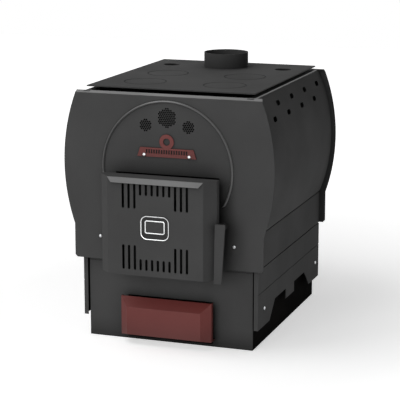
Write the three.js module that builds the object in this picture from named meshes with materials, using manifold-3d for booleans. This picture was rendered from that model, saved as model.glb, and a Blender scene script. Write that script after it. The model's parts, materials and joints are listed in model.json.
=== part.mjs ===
// A sheet-steel wood stove: a barrel firebox inside a bulging convection casing, with a flat
// cooking top, a box-shaped fire door, a lever latch and an ash drawer.
// Millimetres. X points right, Y back and Z up. The origin is on the floor under the stove's middle.
import * as THREE from "three";
import { mergeVertices } from "three/addons/utils/BufferGeometryUtils.js";
import Module from "manifold-3d";

const wasm = await Module();
wasm.setup();

// ---- Driving dimensions ----------------------------------------------------------------------

const seat = 0.3; // gap between pieces that rest on each other
const runningGap = 0.6; // gap beside pieces that slide or turn

// Casing panels: flat front and rear sheets with a bulging outline.
const casingDepth = 587; // front face of the front panel to back face of the rear panel
const panelSheet = 2.5;
const panelTop = 641;
const panelBottom = 209;
const panelFoldDepth = 6; // strip along the top edge, folded back at 45 degrees
const panelCornerCut = 6;
const bulgeHalfWidth = 278.5;
const bulgeRadius = 495;
const bulgeHeight = 457; // height of the widest point
const bulgeFoot = 297; // height where the bulge ends and the straight edge starts

// Casing sides: curved sheets between the panels, and the skirts below them.
const sheet = 2;
const casingInset = 17; // how far the panels stand proud of the side sheets, below the bulge
const casingBulgeInset = 11.5; // the same at the widest height
const casingTopDrop = 1; // side sheet's top below the panel's top
const casingTopFlange = 18;
const casingTopLip = 52; // the flange's edge, turned down behind the vents
const beadWidth = 2.6;
const beadDepth = 1.3;
const ventLength = 28;
const ventHeight = 12.5;
const ventPitch = 121;
const ventsPerRow = 4;
const ventStart = 100; // first vent of the lower row, from the front panel's face
const ventRowHeights = [577, 609];
const jointGap = 2.6; // visible joint between a side sheet and its skirt
const skirtLap = 20; // how far a skirt reaches up behind the side sheet
const skirtSetback = 14; // skirt's front flange behind the front panel's face
const skirtFlange = 11;
const skirtBottom = 54;
const skirtBead = 146;
const notchTop = 100;
const notchTongueBottom = 73; // the tongue between the two notches
const notchTongueHalf = 39;
const notchReach = 138; // from the skirt's middle to the notch top's outer corner
const notchSlope = 48; // run of the slanted outer end
const skirtScrewFront = 66; // from the front panel's face
const skirtScrewRear = 39; // from the rear panel's back
const skirtScrewHeight = 100;

// Base box that stands on the floor and holds the ash drawer.
const baseSetback = 18;
const baseRearSetback = 10;
const skirtStandOff = 14.9; // skirt's outer face beyond the base
const baseHeight = 200;
const baseSheet = 3;
const ashFloorTop = 8;
const ashFloorSheet = 2;
const drawerWindowTop = 116;
const drawerWindowHalf = 114.5;
const railHeight = 55;

// Firebox: a barrel vault on straight walls.
const vesselSheet = 4;
const barrelRadius = 168;
const barrelHeight = 452; // height of the vault's axis
const barrelRearGap = 16.4; // rear end plate to the base's back
const bulkheadMargin = 4; // end plates stand out past the vault
const bulkheadFootHalf = 195;
const bulkheadFootTop = 330;
const bulkheadShoulder = 380;
const baffleHeight = 520;
const baffleFrontGap = 98; // smoke passes in front of the baffle
const grateHalfWidth = 112;
const grateFront = 110; // from the base's front
const grateLength = 330;
const grateThickness = 12;
const grateSlots = 9;
const grateSlotWidth = 10;
const grateRim = 14;
const grateLedge = 12; // how far the grate laps over the floor's opening

// Door neck and its window in the front panel.
const neckHalfWidth = 131;
const neckBottom = 222;
const neckTop = 433;
const neckReach = 38; // in front of the front panel's face
const neckWindowGap = 6;

// Fire door: an inner plate with a box-shaped cover, bevelled at 45 degrees left and right.
const doorPlate = 5;
const doorHalfWidth = 151.5;
const doorFaceHalf = 125;
const doorBevelDepth = 27;
const doorSideDepth = 13; // straight side between the bevel and the plate
const doorBottom = 198;
const doorTop = 444.5;
const doorGap = 4; // door plate to neck rim, filled by the rope seal
const sealWidth = 9;
const coverSheet = 2;
const slotWidth = 6.3;
const slotPitch = 15.2;
const slotColumns = 12;
const longSlotColumns = 3; // at each end of a row
const longSlot = 62.5;
const shortSlot = 28.5;
const slotMargin = 14.5; // from the cover's top and bottom edge
const visorDrop = 13.5;
const visorReach = 5;
const visorSheet = 2;
const badgeWidth = 74;
const badgeHeight = 64;
const badgeCorner = 16;
const badgeThickness = 1.5;
const badgeRaise = 322.5; // height of the badge's centre
const shieldHalfWidth = 104;
const shieldSheet = 4;
const shieldStandOff = 14;
const shieldMargin = 16; // inside the neck, top and bottom
const shieldPostRadius = 6;

// Hinges, behind the door's left edge.
const hingeX = -143;
const hingeSetback = 12; // pin axis behind the door plate's back face
const hingeHeights = [246, 380];
const knuckleRadius = 6;
const knuckleLength = 15;
const hingePinRadius = 3;
const hingePinHead = 5;

// Lever latch at the door's right edge.
const latchX = 158;
const latchHeight = 326;
const latchPinRadius = 5;
const latchEarRadius = 10;
const leverOffset = 7; // lever's middle right of its pin
const leverTop = 342;
const leverBottom = 192;
const leverTopWidth = 27;
const leverBottomWidth = 20;
const leverThickness = 5;
const leverStandOff = 26; // lever's back face in front of the door plate
const leverLean = 4.5; // how far the lower end leans left
const camLength = 22;
const camWidth = 12;
const camThickness = 5;
const camHub = 9;
const latchPinTail = 2; // pin behind the cam
const strikeFlange = 4.7; // bracket on the neck that the cam turns behind
const strikeSheet = 3;
const strikeHeight = 40;
const strikeWidth = 16;
const strikeLeg = 22;
const strikeSetback = 2; // behind the neck's rim

// Ash drawer: a bevelled front shield and an open tray.
const drawerSheet = 2;
const drawerHalfWidth = 121.5;
const drawerFaceHalf = 98.5;
const drawerBottom = 19.5;
const drawerTop = 121;
const drawerFaceTop = 98;
const drawerFaceBottom = 26;
const drawerBevelDepth = 21;
const drawerSideDepth = 12;
const drawerSideGap = 18; // between the shield's side walls and the base
const drawerStandOff = 3; // between the shield's floor and the base
const trayRearGap = 95; // tray to the base's back
const trayTop = 100;
const trayOverlap = 3; // tray's front end let into the shield's floor
const traySideGap = 2; // tray to the sides of the base's window

// Cooking top.
const cooktopSetback = 18.5;
const cooktopDepth = 551;
const cooktopHalfWidth = 221.6;
const cooktopThickness = 3;
const cooktopLift = 7; // above the casing panels
const burnerDiameter = 107;
const burnerSpread = 107; // each way from the middle
const burnerRows = [112, 277]; // from the cooking top's front edge
const burnerGroove = 1.6;
const burnerGrooveDepth = 0.8;
const riserHoleDiameter = 44.5;
const riserHoleSpread = 160;
const riserHoleRow = 447.5;
const flueDiameter = 120;
const flueWall = 2.5;
const flueHeight = 40;
const flueRow = 457;
const flueOffset = -5; // the collar sits left of the middle
const supportRows = [52, 352];
const supportHalfWidth = 150;
const supportFoot = 600;

// Trim on the front panel.
const trimRadius = 167.5; // inner edge of the arch
const trimWidth = 6;
const trimProud = 4;
const trimSlope = 2.6;
const trimEnd = -28; // degrees below the vault's axis where the arch stops
const grilleHole = 2.1;
const grillePitch = 6.4;
const grilleRadius = 25.5;
const grilleHeight = 582;
const sideGrilleRadius = 18;
const sideGrilleHeight = 561.3;
const sideGrilleSpread = 56.3;
const nameBarHalf = 78;
const nameBarHeight = 23;
const nameBarBottom = 483;
const nameBarThickness = 2.5;
const nameDiscRadius = 19;
const nameDiscHeight = 522;
const nameScrewSpread = 59.5;
const nameScrewHeight = 487.5;
const panelScrewPlaces = { left: -181, right: 176 };
const panelScrewHeight = 269;

// Fasteners.
const screwHeadRadius = 4.5;
const screwHeadHeight = 2.6;
const shankRadius = 2.4;
const shankHole = 3;
const spacerRadius = 7;

// ---- Places worked out from the driving dimensions -------------------------------------------

const doorBack = -neckReach - doorGap; // from the front panel's face, like the next ones
const doorPlateFront = doorBack - doorPlate;
const doorSideFront = doorPlateFront - doorSideDepth;
const doorFace = doorSideFront - doorBevelDepth;
const visorFront = doorFace - seat - visorReach;
const leverBack = doorPlateFront - leverStandOff;
const leverFront = leverBack - leverThickness;
const reach = -Math.min(visorFront, leverFront);
const frontY = (reach - casingDepth) / 2; // the front panel's face, so that the whole is centred

const rearFace = casingDepth - panelSheet; // front face of the rear panel
const baseBack = casingDepth - baseRearSetback;
const deckBottom = baseHeight + seat;
const deckTop = deckBottom + vesselSheet;
const vesselFoot = deckTop + seat;
const barrelFront = baseSetback + vesselSheet + seat;
const barrelBack = baseBack - barrelRearGap - vesselSheet - seat;
const footX = bulgeX(bulgeFoot);
const skirtX = footX - casingInset;
const casingHalfWidth = bulgeHalfWidth - casingBulgeInset;
const casingRise = casingHalfWidth - skirtX;
const casingReach = bulgeHeight - bulgeFoot;
const casingRadius = (casingReach ** 2 + casingRise ** 2) / (2 * casingRise);
const skirtTop = panelBottom - jointGap;
const skirtScrewRows = [skirtScrewFront, casingDepth - skirtScrewRear];
const baseHalfWidth = skirtX - skirtStandOff;
const skirtMiddle = (skirtSetback + rearFace) / 2;
const neckInside = [neckBottom + vesselSheet, neckTop - vesselSheet];
const hingeY = doorBack + hingeSetback;
const strikeFront = -neckReach + strikeSetback;
const camFront = strikeFront + strikeFlange + seat;
const camBack = camFront + camThickness;
const cooktopBottom = panelTop + cooktopLift;
const cooktopTop = cooktopBottom + cooktopThickness;
const drawerBack = baseSetback - drawerStandOff;
const drawerSideBack = baseSetback - drawerSideGap;
const drawerSideFront = drawerSideBack - drawerSideDepth;
const drawerFace = drawerSideFront - drawerBevelDepth;
const trayFront = drawerBack - trayOverlap;
const trayBack = baseBack - trayRearGap;
const trayHalfWidth = drawerWindowHalf - traySideGap;
const trayBottom = ashFloorTop + runningGap;
const flueCentre = [flueOffset, cooktopSetback + flueRow];

const grilles = [
  { x: 0, z: grilleHeight, radius: grilleRadius },
  { x: -sideGrilleSpread, z: sideGrilleHeight, radius: sideGrilleRadius },
  { x: sideGrilleSpread, z: sideGrilleHeight, radius: sideGrilleRadius },
];

// Half width at a height of an arc that is widest at the bulge's height.
function arcX(z, halfWidth, radius) {
  return halfWidth - radius + Math.sqrt(radius ** 2 - (z - bulgeHeight) ** 2);
}

// Half width of the panels' bulging outline at a height.
function bulgeX(z) {
  return arcX(z, bulgeHalfWidth, bulgeRadius);
}

// Half width of the side sheets at a height.
function casingX(z) {
  return arcX(z, casingHalfWidth, casingRadius);
}

// ---- Solids ----------------------------------------------------------------------------------

function solid(geometry) {
  const bare = geometry.index ? geometry.toNonIndexed() : geometry.clone();
  bare.deleteAttribute("normal");
  bare.deleteAttribute("uv");
  const merged = mergeVertices(bare, 1e-4);
  return new wasm.Manifold(
    new wasm.Mesh({
      numProp: 3,
      vertProperties: new Float32Array(merged.attributes.position.array),
      triVerts: new Uint32Array(merged.index.array),
    }),
  );
}

const join = (first, ...rest) => rest.reduce((sum, piece) => sum.add(piece), first);
const cut = (body, ...tools) => tools.reduce((rest, tool) => rest.subtract(tool), body);
const mirrored = (body) => body.mirror([1, 0, 0]);

function box([x0, x1], [y0, y1], [z0, z1]) {
  const shape = new THREE.BoxGeometry(x1 - x0, y1 - y0, z1 - z0);
  return solid(shape.translate((x0 + x1) / 2, (y0 + y1) / 2, (z0 + z1) / 2));
}

// A cylinder along an axis ("x", "y" or "z") between two places on it.
function rod(axis, radius, from, to, [a, b], sides = 20) {
  const shape = new THREE.CylinderGeometry(radius, radius, to - from, sides);
  const middle = (from + to) / 2;
  if (axis === "x") return solid(shape.rotateZ(-Math.PI / 2).translate(middle, a, b));
  if (axis === "y") return solid(shape.translate(a, middle, b));
  return solid(shape.rotateX(Math.PI / 2).translate(a, b, middle));
}

const outline = (points) => new THREE.Shape(points.map(([a, b]) => new THREE.Vector2(a, b)));

const extruded = (shape, depth, curveSegments) =>
  new THREE.ExtrudeGeometry(shape, { depth, bevelEnabled: false, curveSegments });

// A shape drawn in X and Z, running back from y0 to y1.
function alongY(shape, y0, y1, curveSegments = 12) {
  const geometry = extruded(shape, y1 - y0, curveSegments);
  return solid(geometry.rotateX(Math.PI / 2).translate(0, y1, 0));
}

// A shape drawn in Y and Z, running right from x0 to x1.
function alongX(shape, x0, x1) {
  const turn = new THREE.Matrix4().makeBasis(
    new THREE.Vector3(0, 1, 0),
    new THREE.Vector3(0, 0, 1),
    new THREE.Vector3(1, 0, 0),
  );
  return solid(extruded(shape, x1 - x0).applyMatrix4(turn).translate(x0, 0, 0));
}

// A shape drawn in X and Y, standing from z0 to z1.
const alongZ = (shape, z0, z1) => solid(extruded(shape, z1 - z0).translate(0, 0, z0));

// ---- The part's group ------------------------------------------------------------------------

const paint = { color: 0x454545, roughness: 0.55, metalness: 0.2 };
const soot = { color: 0x1c1a19, roughness: 0.9, metalness: 0.1 };
const redPaint = { color: 0x8a2a26, roughness: 0.5, metalness: 0.1 };
const zinc = { color: 0xd6d8da, roughness: 0.35, metalness: 0.9 };
const iron = { color: 0x2b2a29, roughness: 0.8, metalness: 0.4 };
const rope = { color: 0xcfc8b8, roughness: 0.95, metalness: 0 };

const stove = new THREE.Group();
stove.position.y = frontY;

function add(name, body, finish) {
  const mesh = body.getMesh();
  const geometry = new THREE.BufferGeometry();
  geometry.setAttribute("position", new THREE.BufferAttribute(mesh.vertProperties, 3));
  geometry.setIndex(new THREE.BufferAttribute(mesh.triVerts, 1));
  geometry.computeVertexNormals();
  const piece = new THREE.Mesh(geometry, new THREE.MeshStandardMaterial(finish));
  piece.name = name;
  stove.add(piece);
}

// ---- Casing ----------------------------------------------------------------------------------

// Points down the bulge, from a height to its foot, on an outline given as half width at a height.
function bulgePoints(top, widthAt, steps = 14) {
  const points = [];
  for (let i = 0; i <= steps; i++) {
    const z = top + ((bulgeFoot - top) * i) / steps;
    points.push([widthAt(z), z]);
  }
  return points;
}

const flip = (points) => points.map(([x, z]) => [-x, z]).reverse();

function casingPanel() {
  const flatTop = panelTop - panelFoldDepth;
  const side = [
    ...bulgePoints(flatTop, bulgeX),
    [footX, panelBottom + panelCornerCut],
    [footX - panelCornerCut, panelBottom],
  ];
  const flat = alongY(outline([...side, ...flip(side)]), 0, panelSheet);
  const fold = outline([
    [0, flatTop],
    [panelFoldDepth, panelTop],
    [panelFoldDepth + panelSheet, panelTop],
    [panelSheet, flatTop],
  ]);
  const half = bulgeX(panelTop);
  return join(flat, alongX(fold, -half, half));
}

// Centres of a staggered hole pattern inside a circle.
function latticePoints(radius, pitch) {
  const points = [];
  const rowPitch = (pitch * Math.sqrt(3)) / 2;
  const rows = Math.floor(radius / rowPitch);
  for (let row = -rows; row <= rows; row++) {
    const shift = row % 2 === 0 ? 0 : pitch / 2;
    for (let x = -radius - pitch; x <= radius; x += pitch) {
      const column = Math.round((x + radius) / pitch) * pitch;
      const px = column - Math.round(radius / pitch) * pitch + shift;
      const py = row * rowPitch;
      if (Math.hypot(px, py) < radius - grilleHole) points.push([px, py]);
    }
  }
  return points;
}

function frontPanel() {
  const through = [-1, panelSheet + 1];
  const tools = [neckWindow(through)];
  for (const { x, z, radius } of grilles)
    for (const [dx, dz] of latticePoints(radius, grillePitch))
      tools.push(rod("y", grilleHole, ...through, [x + dx, z + dz], 6));
  for (const side of [-1, 1])
    tools.push(rod("y", shankHole, ...through, [side * nameScrewSpread, nameScrewHeight], 12));
  return cut(casingPanel(), ...tools, ...panelScrewHoles(...through));
}

function panelScrewHoles(from, to) {
  return Object.values(panelScrewPlaces).map((x) =>
    rod("y", shankHole, from, to, [x, panelScrewHeight], 12),
  );
}

function neckWindow(depth) {
  const half = neckHalfWidth + neckWindowGap;
  return box([-half, half], depth, [neckBottom - neckWindowGap, neckTop + neckWindowGap]);
}

function rearPanel() {
  return casingPanel().rotate([0, 0, 180]).translate([0, casingDepth, 0]);
}

// A shallow bead pressed into a sheet at x, as points from above it to below it.
const bead = (x, z) => [
  [x, z + beadWidth / 2],
  [x - beadDepth, z],
  [x, z - beadWidth / 2],
];

function casingSide() {
  const top = panelTop - casingTopDrop;
  const foot = panelBottom;
  const skin = (depth) => [
    ...bulgePoints(top, (z) => casingX(z) - depth).slice(0, -1),
    ...bead(skirtX - depth, bulgeFoot),
    [skirtX - depth, foot],
  ];
  const outer = skin(0);
  const inner = skin(sheet).reverse();
  inner.pop();
  const cornerX = outer[0][0];
  const lipX = cornerX - casingTopFlange;
  const lipFoot = top - casingTopLip;
  const flange = [
    [cornerX - sheet, top - sheet],
    [lipX + sheet, top - sheet],
    [lipX + sheet, lipFoot],
    [lipX, lipFoot],
    [lipX, top],
  ];
  const body = alongY(outline([...outer, ...inner, ...flange]), panelSheet + seat, rearFace - seat);
  const tools = [];
  ventRowHeights.forEach((z, row) => {
    for (let i = 0; i < ventsPerRow; i++) {
      const y = ventStart + (i + row / 2) * ventPitch;
      tools.push(...ventTools(cornerX - sheet, y, z));
    }
  });
  return cut(body, ...foldClearance(), ...tools);
}

// A level slot with round ends, cut outwards from x.
function ventTools(x, y, z) {
  const round = ventHeight / 2;
  const reach = ventLength / 2 - round;
  const ends = [y - reach, y + reach];
  const flat = box([x, bulgeHalfWidth], ends, [z - round, z + round]);
  return [flat, ...ends.map((end) => rod("x", round, x, bulgeHalfWidth, [end, z], 12))];
}

// The folded top edges of both panels, with their clearance.
function foldClearance() {
  const deep = panelFoldDepth + panelSheet + seat;
  const wide = [-bulgeHalfWidth, bulgeHalfWidth];
  const high = [panelTop - panelFoldDepth - seat, panelTop + 1];
  return [box(wide, [0, deep], high), box(wide, [casingDepth - deep, casingDepth], high)];
}

function skirtSide() {
  const lapX = skirtX - sheet - seat;
  const lapTop = skirtTop + jointGap + skirtLap;
  const outer = [[skirtX, skirtTop], ...bead(skirtX, skirtBead), [skirtX, skirtBottom]];
  const inner = [
    [skirtX - sheet, skirtBottom],
    ...bead(skirtX - sheet, skirtBead).reverse(),
    [skirtX - sheet, skirtTop - sheet],
    [lapX - sheet, skirtTop - sheet],
    [lapX - sheet, lapTop],
    [lapX, lapTop],
    [lapX, skirtTop],
  ];
  const front = skirtSetback;
  const back = rearFace - seat;
  const wall = alongY(outline([...outer, ...inner]), front, back);
  const flangeX = [skirtX - skirtFlange, skirtX - sheet / 2];
  const flangeZ = [skirtBottom, skirtTop - sheet / 2];
  const flanges = [
    box(flangeX, [front, front + sheet], flangeZ),
    box(flangeX, [back - sheet, back], flangeZ),
  ];
  return cut(join(wall, ...flanges), ...notches(), ...skirtScrewHoles(baseHalfWidth, skirtX + 1));
}

function skirtScrewHoles(from, to) {
  return skirtScrewRows.map((y) => rod("x", shankHole, from, to, [y, skirtScrewHeight], 12));
}

// Two notches with a tongue between them, cut up from the skirt's lower edge.
function notches() {
  const across = [skirtX - skirtFlange - 1, skirtX + 1];
  const below = skirtBottom - 2;
  const slopeFoot = notchReach + (notchSlope * (notchTop - below)) / (notchTop - skirtBottom);
  const tools = [-1, 1].map((side) => {
    const points = [
      [skirtMiddle + side * notchTongueHalf, below],
      [skirtMiddle + side * slopeFoot, below],
      [skirtMiddle + side * notchReach, notchTop],
      [skirtMiddle + side * notchTongueHalf, notchTop],
    ];
    return alongX(outline(points), ...across);
  });
  const tongue = [skirtMiddle - notchTongueHalf - 1, skirtMiddle + notchTongueHalf + 1];
  return [...tools, box(across, tongue, [below, notchTongueBottom])];
}

// A pan-head screw: the head's seat is at 0 and the shank runs back along Y.
function screw(shankLength) {
  const profile = [
    [0, -screwHeadHeight],
    [screwHeadRadius * 0.7, -screwHeadHeight],
    [screwHeadRadius, -screwHeadHeight * 0.5],
    [screwHeadRadius, 0],
    [shankRadius, 0],
    [shankRadius, shankLength],
    [0, shankLength],
  ];
  return solid(new THREE.LatheGeometry(profile.map(([r, h]) => new THREE.Vector2(r, h)), 14));
}

function addCasing() {
  add("front_panel", frontPanel(), paint);
  add("rear_panel", rearPanel(), paint);
  const side = casingSide();
  const skirt = skirtSide();
  add("side_casing_right", side, paint);
  add("side_casing_left", mirrored(side), paint);
  add("side_skirt_right", skirt, paint);
  add("side_skirt_left", mirrored(skirt), paint);
  const shank = skirtX - baseHalfWidth + baseSheet + seat;
  skirtScrewRows.forEach((y, i) => {
    const end = i ? "rear" : "front";
    const right = screw(shank).rotate([0, 0, 90]).translate([skirtX + seat, y, skirtScrewHeight]);
    add(`skirt_screw_right_${end}`, right, zinc);
    add(`skirt_screw_left_${end}`, mirrored(right), zinc);
  });
}

// ---- Base ------------------------------------------------------------------------------------

function addBase() {
  const wide = [-baseHalfWidth, baseHalfWidth];
  const inFront = baseSetback + baseSheet + seat;
  const inBack = baseBack - baseSheet - seat;
  const windowX = [-drawerWindowHalf, drawerWindowHalf];
  const front = cut(
    box(wide, [baseSetback, baseSetback + baseSheet], [0, baseHeight]),
    box(windowX, [baseSetback - 1, inFront], [ashFloorTop, drawerWindowTop]),
  );
  add("base_front", front, paint);
  add("base_rear", box(wide, [baseBack - baseSheet, baseBack], [0, baseHeight]), paint);
  const sideX = [baseHalfWidth - baseSheet, baseHalfWidth];
  const side = cut(
    box(sideX, [inFront, inBack], [0, baseHeight]),
    ...skirtScrewHoles(sideX[0] - 1, sideX[1] + 1),
  );
  add("base_side_right", side, soot);
  add("base_side_left", mirrored(side), soot);
  const inside = baseHalfWidth - baseSheet - seat;
  const floorZ = [ashFloorTop - ashFloorSheet, ashFloorTop];
  add("ash_floor", box([-inside, inside], [inFront, inBack], floorZ), soot);
  const railX = trayHalfWidth + runningGap;
  const rail = box(
    [railX, railX + baseSheet],
    [inFront, trayBack + trayOverlap],
    [ashFloorTop + seat, ashFloorTop + railHeight],
  );
  add("drawer_rail_right", rail, soot);
  add("drawer_rail_left", mirrored(rail), soot);
}

// ---- Firebox ---------------------------------------------------------------------------------

// A vault outline: straight walls up to the axis height and a half circle over them.
function vault(radius, foot) {
  const shape = new THREE.Shape();
  shape.moveTo(-radius, foot);
  shape.lineTo(radius, foot);
  shape.lineTo(radius, barrelHeight);
  shape.absarc(0, barrelHeight, radius, 0, Math.PI, false);
  shape.lineTo(-radius, foot);
  return shape;
}

function bulkhead() {
  const radius = barrelRadius + bulkheadMargin;
  const shape = new THREE.Shape();
  shape.moveTo(-bulkheadFootHalf, vesselFoot);
  shape.lineTo(bulkheadFootHalf, vesselFoot);
  shape.lineTo(bulkheadFootHalf, bulkheadFootTop);
  shape.lineTo(radius, bulkheadShoulder);
  shape.lineTo(radius, barrelHeight);
  shape.absarc(0, barrelHeight, radius, 0, Math.PI, false);
  shape.lineTo(-radius, bulkheadShoulder);
  shape.lineTo(-bulkheadFootHalf, bulkheadFootTop);
  return shape;
}

const vaultSides = 12;

function fireboxShell() {
  const outer = alongY(vault(barrelRadius, vesselFoot), barrelFront, barrelBack, vaultSides);
  const inner = alongY(
    vault(barrelRadius - vesselSheet, vesselFoot - 1),
    barrelFront - 1,
    barrelBack + 1,
    vaultSides,
  );
  const flueHole = rod("z", flueDiameter / 2 - flueWall, barrelHeight, cooktopTop, flueCentre, 32);
  return cut(outer, inner, flueHole);
}

function grate() {
  const half = grateHalfWidth;
  const front = baseSetback + grateFront;
  const top = vesselFoot + grateThickness;
  const plate = box([-half, half], [front, front + grateLength], [vesselFoot, top]);
  const pitch = (2 * half - 2 * grateRim - grateSlotWidth) / (grateSlots - 1);
  const slots = [];
  const slotY = [front + grateRim, front + grateLength - grateRim];
  for (let i = 0; i < grateSlots; i++) {
    const x = -half + grateRim + i * pitch;
    slots.push(box([x, x + grateSlotWidth], slotY, [vesselFoot - 1, top + 1]));
  }
  return cut(plate, ...slots);
}

function addFirebox() {
  const wide = [-baseHalfWidth, baseHalfWidth];
  const grateX = grateHalfWidth - grateLedge;
  const grateY = baseSetback + grateFront + grateLedge;
  const deck = cut(
    box(wide, [baseSetback, baseBack], [deckBottom, deckTop]),
    box([-grateX, grateX], [grateY, grateY + grateLength - 2 * grateLedge], [baseHeight, vesselFoot]),
  );
  add("firebox_floor", deck, soot);
  add("grate", grate(), iron);
  add("firebox_shell", fireboxShell(), soot);
  const opening = neckHalfWidth - vesselSheet;
  const front = cut(
    alongY(bulkhead(), baseSetback, baseSetback + vesselSheet, vaultSides),
    box([-opening, opening], [baseSetback - 1, barrelFront], neckInside),
    ...panelScrewHoles(baseSetback - 1, barrelFront),
  );
  add("firebox_front", front, soot);
  const rearY = barrelBack + seat;
  add("firebox_rear", alongY(bulkhead(), rearY, rearY + vesselSheet, vaultSides), soot);
  const baffle = box(
    [-barrelRadius, barrelRadius],
    [barrelFront + baffleFrontGap, rearY - seat],
    [baffleHeight, baffleHeight + vesselSheet],
  );
  const inside = vault(barrelRadius - vesselSheet - seat, vesselFoot);
  add("flame_baffle", baffle.intersect(alongY(inside, 0, casingDepth, vaultSides)), soot);
}

function addNeck() {
  const outer = [-neckHalfWidth, neckHalfWidth];
  const inner = outer.map((x) => x - Math.sign(x) * vesselSheet);
  const depth = [-neckReach, baseSetback - seat];
  const tube = cut(
    box(outer, depth, [neckBottom, neckTop]),
    box(inner, [depth[0] - 1, depth[1] + 1], neckInside),
  );
  add("door_neck", tube, paint);
  const wallX = neckHalfWidth + seat;
  const high = [latchHeight - strikeHeight / 2, latchHeight + strikeHeight / 2];
  const strike = join(
    box([wallX, wallX + strikeWidth], [strikeFront, strikeFront + strikeFlange], high),
    box([wallX, wallX + strikeSheet], [strikeFront, strikeFront + strikeLeg], high),
  );
  add("latch_strike", strike, paint);
}

// ---- Cooking top -----------------------------------------------------------------------------

function ringTool(x, y) {
  const middle = burnerDiameter / 2;
  const z = [cooktopTop - burnerGrooveDepth, cooktopTop + 1];
  const outer = rod("z", middle + burnerGroove / 2, ...z, [x, y], 32);
  return cut(outer, rod("z", middle - burnerGroove / 2, z[0] - 1, z[1] + 1, [x, y], 32));
}

function cooktopPlate() {
  const half = cooktopHalfWidth;
  const z = [cooktopBottom - 1, cooktopTop + 1];
  const depth = [cooktopSetback, cooktopSetback + cooktopDepth];
  const plate = box([-half, half], depth, [cooktopBottom, cooktopTop]);
  const tools = [rod("z", flueDiameter / 2 + seat, ...z, flueCentre, 32)];
  for (const side of [-1, 1]) {
    const riser = [side * riserHoleSpread, cooktopSetback + riserHoleRow];
    tools.push(rod("z", riserHoleDiameter / 2, ...z, riser, 24));
    for (const row of burnerRows) tools.push(ringTool(side * burnerSpread, cooktopSetback + row));
  }
  return cut(plate, ...tools);
}

// The vault's outside with its clearance, for what stands on it.
const vaultClearance = () =>
  alongY(vault(barrelRadius + seat, vesselFoot), 0, casingDepth, vaultSides);

function flueCollar() {
  const radius = flueDiameter / 2;
  const bottom = supportFoot;
  const top = cooktopTop + flueHeight;
  const tube = cut(
    rod("z", radius, bottom, top, flueCentre, 48),
    rod("z", radius - flueWall, bottom - 1, top + 1, flueCentre, 48),
  );
  return cut(tube, vaultClearance());
}

function addCooktop() {
  add("cooktop_plate", cooktopPlate(), paint);
  add("flue_collar", flueCollar(), paint);
  supportRows.forEach((row, i) => {
    const y = cooktopSetback + row;
    const rib = box(
      [-supportHalfWidth, supportHalfWidth],
      [y, y + vesselSheet],
      [supportFoot, cooktopBottom - seat],
    );
    add(`cooktop_support_${i ? "rear" : "front"}`, cut(rib, vaultClearance()), soot);
  });
}

// ---- Trim on the front panel -----------------------------------------------------------------

function archTrim() {
  const start = THREE.MathUtils.degToRad(trimEnd);
  const taper = THREE.MathUtils.degToRad(3);
  const shape = new THREE.Shape();
  shape.absarc(0, barrelHeight, trimRadius + trimWidth, start, Math.PI - start, false);
  shape.absarc(0, barrelHeight, trimRadius, Math.PI - start + taper, start - taper, true);
  const geometry = new THREE.ExtrudeGeometry(shape, {
    depth: 2 * (trimProud - trimSlope),
    bevelThickness: trimSlope,
    bevelSize: trimSlope,
    bevelOffset: -trimSlope,
    bevelSegments: 1,
    curveSegments: 40,
  });
  const whole = solid(geometry.rotateX(Math.PI / 2).translate(0, trimProud - trimSlope - seat, 0));
  return cut(whole, box([-bulgeHalfWidth, bulgeHalfWidth], [-seat, trimProud + 1], [0, panelTop]));
}

function nameBar() {
  const back = -seat;
  const front = back - nameBarThickness;
  const top = nameBarBottom + nameBarHeight;
  const bar = outline([
    [-nameBarHalf, nameBarBottom],
    [nameBarHalf, nameBarBottom],
    [nameBarHalf - nameBarHeight / 3, top],
    [-nameBarHalf + nameBarHeight / 3, top],
  ]);
  const body = join(
    alongY(bar, front, back),
    rod("y", nameDiscRadius, front, back, [0, nameDiscHeight], 28),
  );
  const holes = [-1, 1].map((s) =>
    rod("y", shankHole, front - 1, back + 1, [s * nameScrewSpread, nameScrewHeight], 12),
  );
  return cut(body, ...holes);
}

function addTrim() {
  add("arch_trim", archTrim(), paint);
  add("name_bar", nameBar(), redPaint);
  for (const [hand, side] of [["left", -1], ["right", 1]]) {
    const nameFace = -2 * seat - nameBarThickness;
    const nameScrew = screw(-nameFace + panelSheet + 2).translate([
      side * nameScrewSpread,
      nameFace,
      nameScrewHeight,
    ]);
    add(`name_bar_screw_${hand}`, nameScrew, zinc);
    const place = [panelScrewPlaces[hand], panelScrewHeight];
    const panelScrew = screw(baseSetback + vesselSheet).translate([place[0], -seat, place[1]]);
    add(`panel_screw_${hand}`, panelScrew, zinc);
    const sleeve = [panelSheet + seat, baseSetback - seat];
    const spacer = cut(
      rod("y", spacerRadius, ...sleeve, place, 16),
      rod("y", shankHole, sleeve[0] - 1, sleeve[1] + 1, place, 12),
    );
    add(`panel_spacer_${hand}`, spacer, paint);
  }
}

// ---- Fire door -------------------------------------------------------------------------------

// A box front's plan: straight sides, bevels and the face, all moved in by an inset.
function bevelledPlan({ half, faceHalf, sideFront, face }, back, inset) {
  const lean = Math.atan2(sideFront - face, half - faceHalf);
  const sideCorner = [half - inset, sideFront + inset * Math.tan((Math.PI / 2 - lean) / 2)];
  const faceCorner = [faceHalf - inset * Math.tan(lean / 2), face + inset];
  const right = [[half - inset, back], sideCorner, faceCorner];
  return outline([...right, ...flip(right)]);
}

const doorPlan = {
  half: doorHalfWidth,
  faceHalf: doorFaceHalf,
  sideFront: doorSideFront,
  face: doorFace,
};

// A slot with round ends, cut through the cover's face.
function slotTool(x, bottom, top) {
  const radius = slotWidth / 2;
  const depth = [doorFace - 1, doorFace + coverSheet + 1];
  return join(
    box([x - radius, x + radius], depth, [bottom + radius, top - radius]),
    rod("y", radius, ...depth, [x, bottom + radius], 10),
    rod("y", radius, ...depth, [x, top - radius], 10),
  );
}

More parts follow.
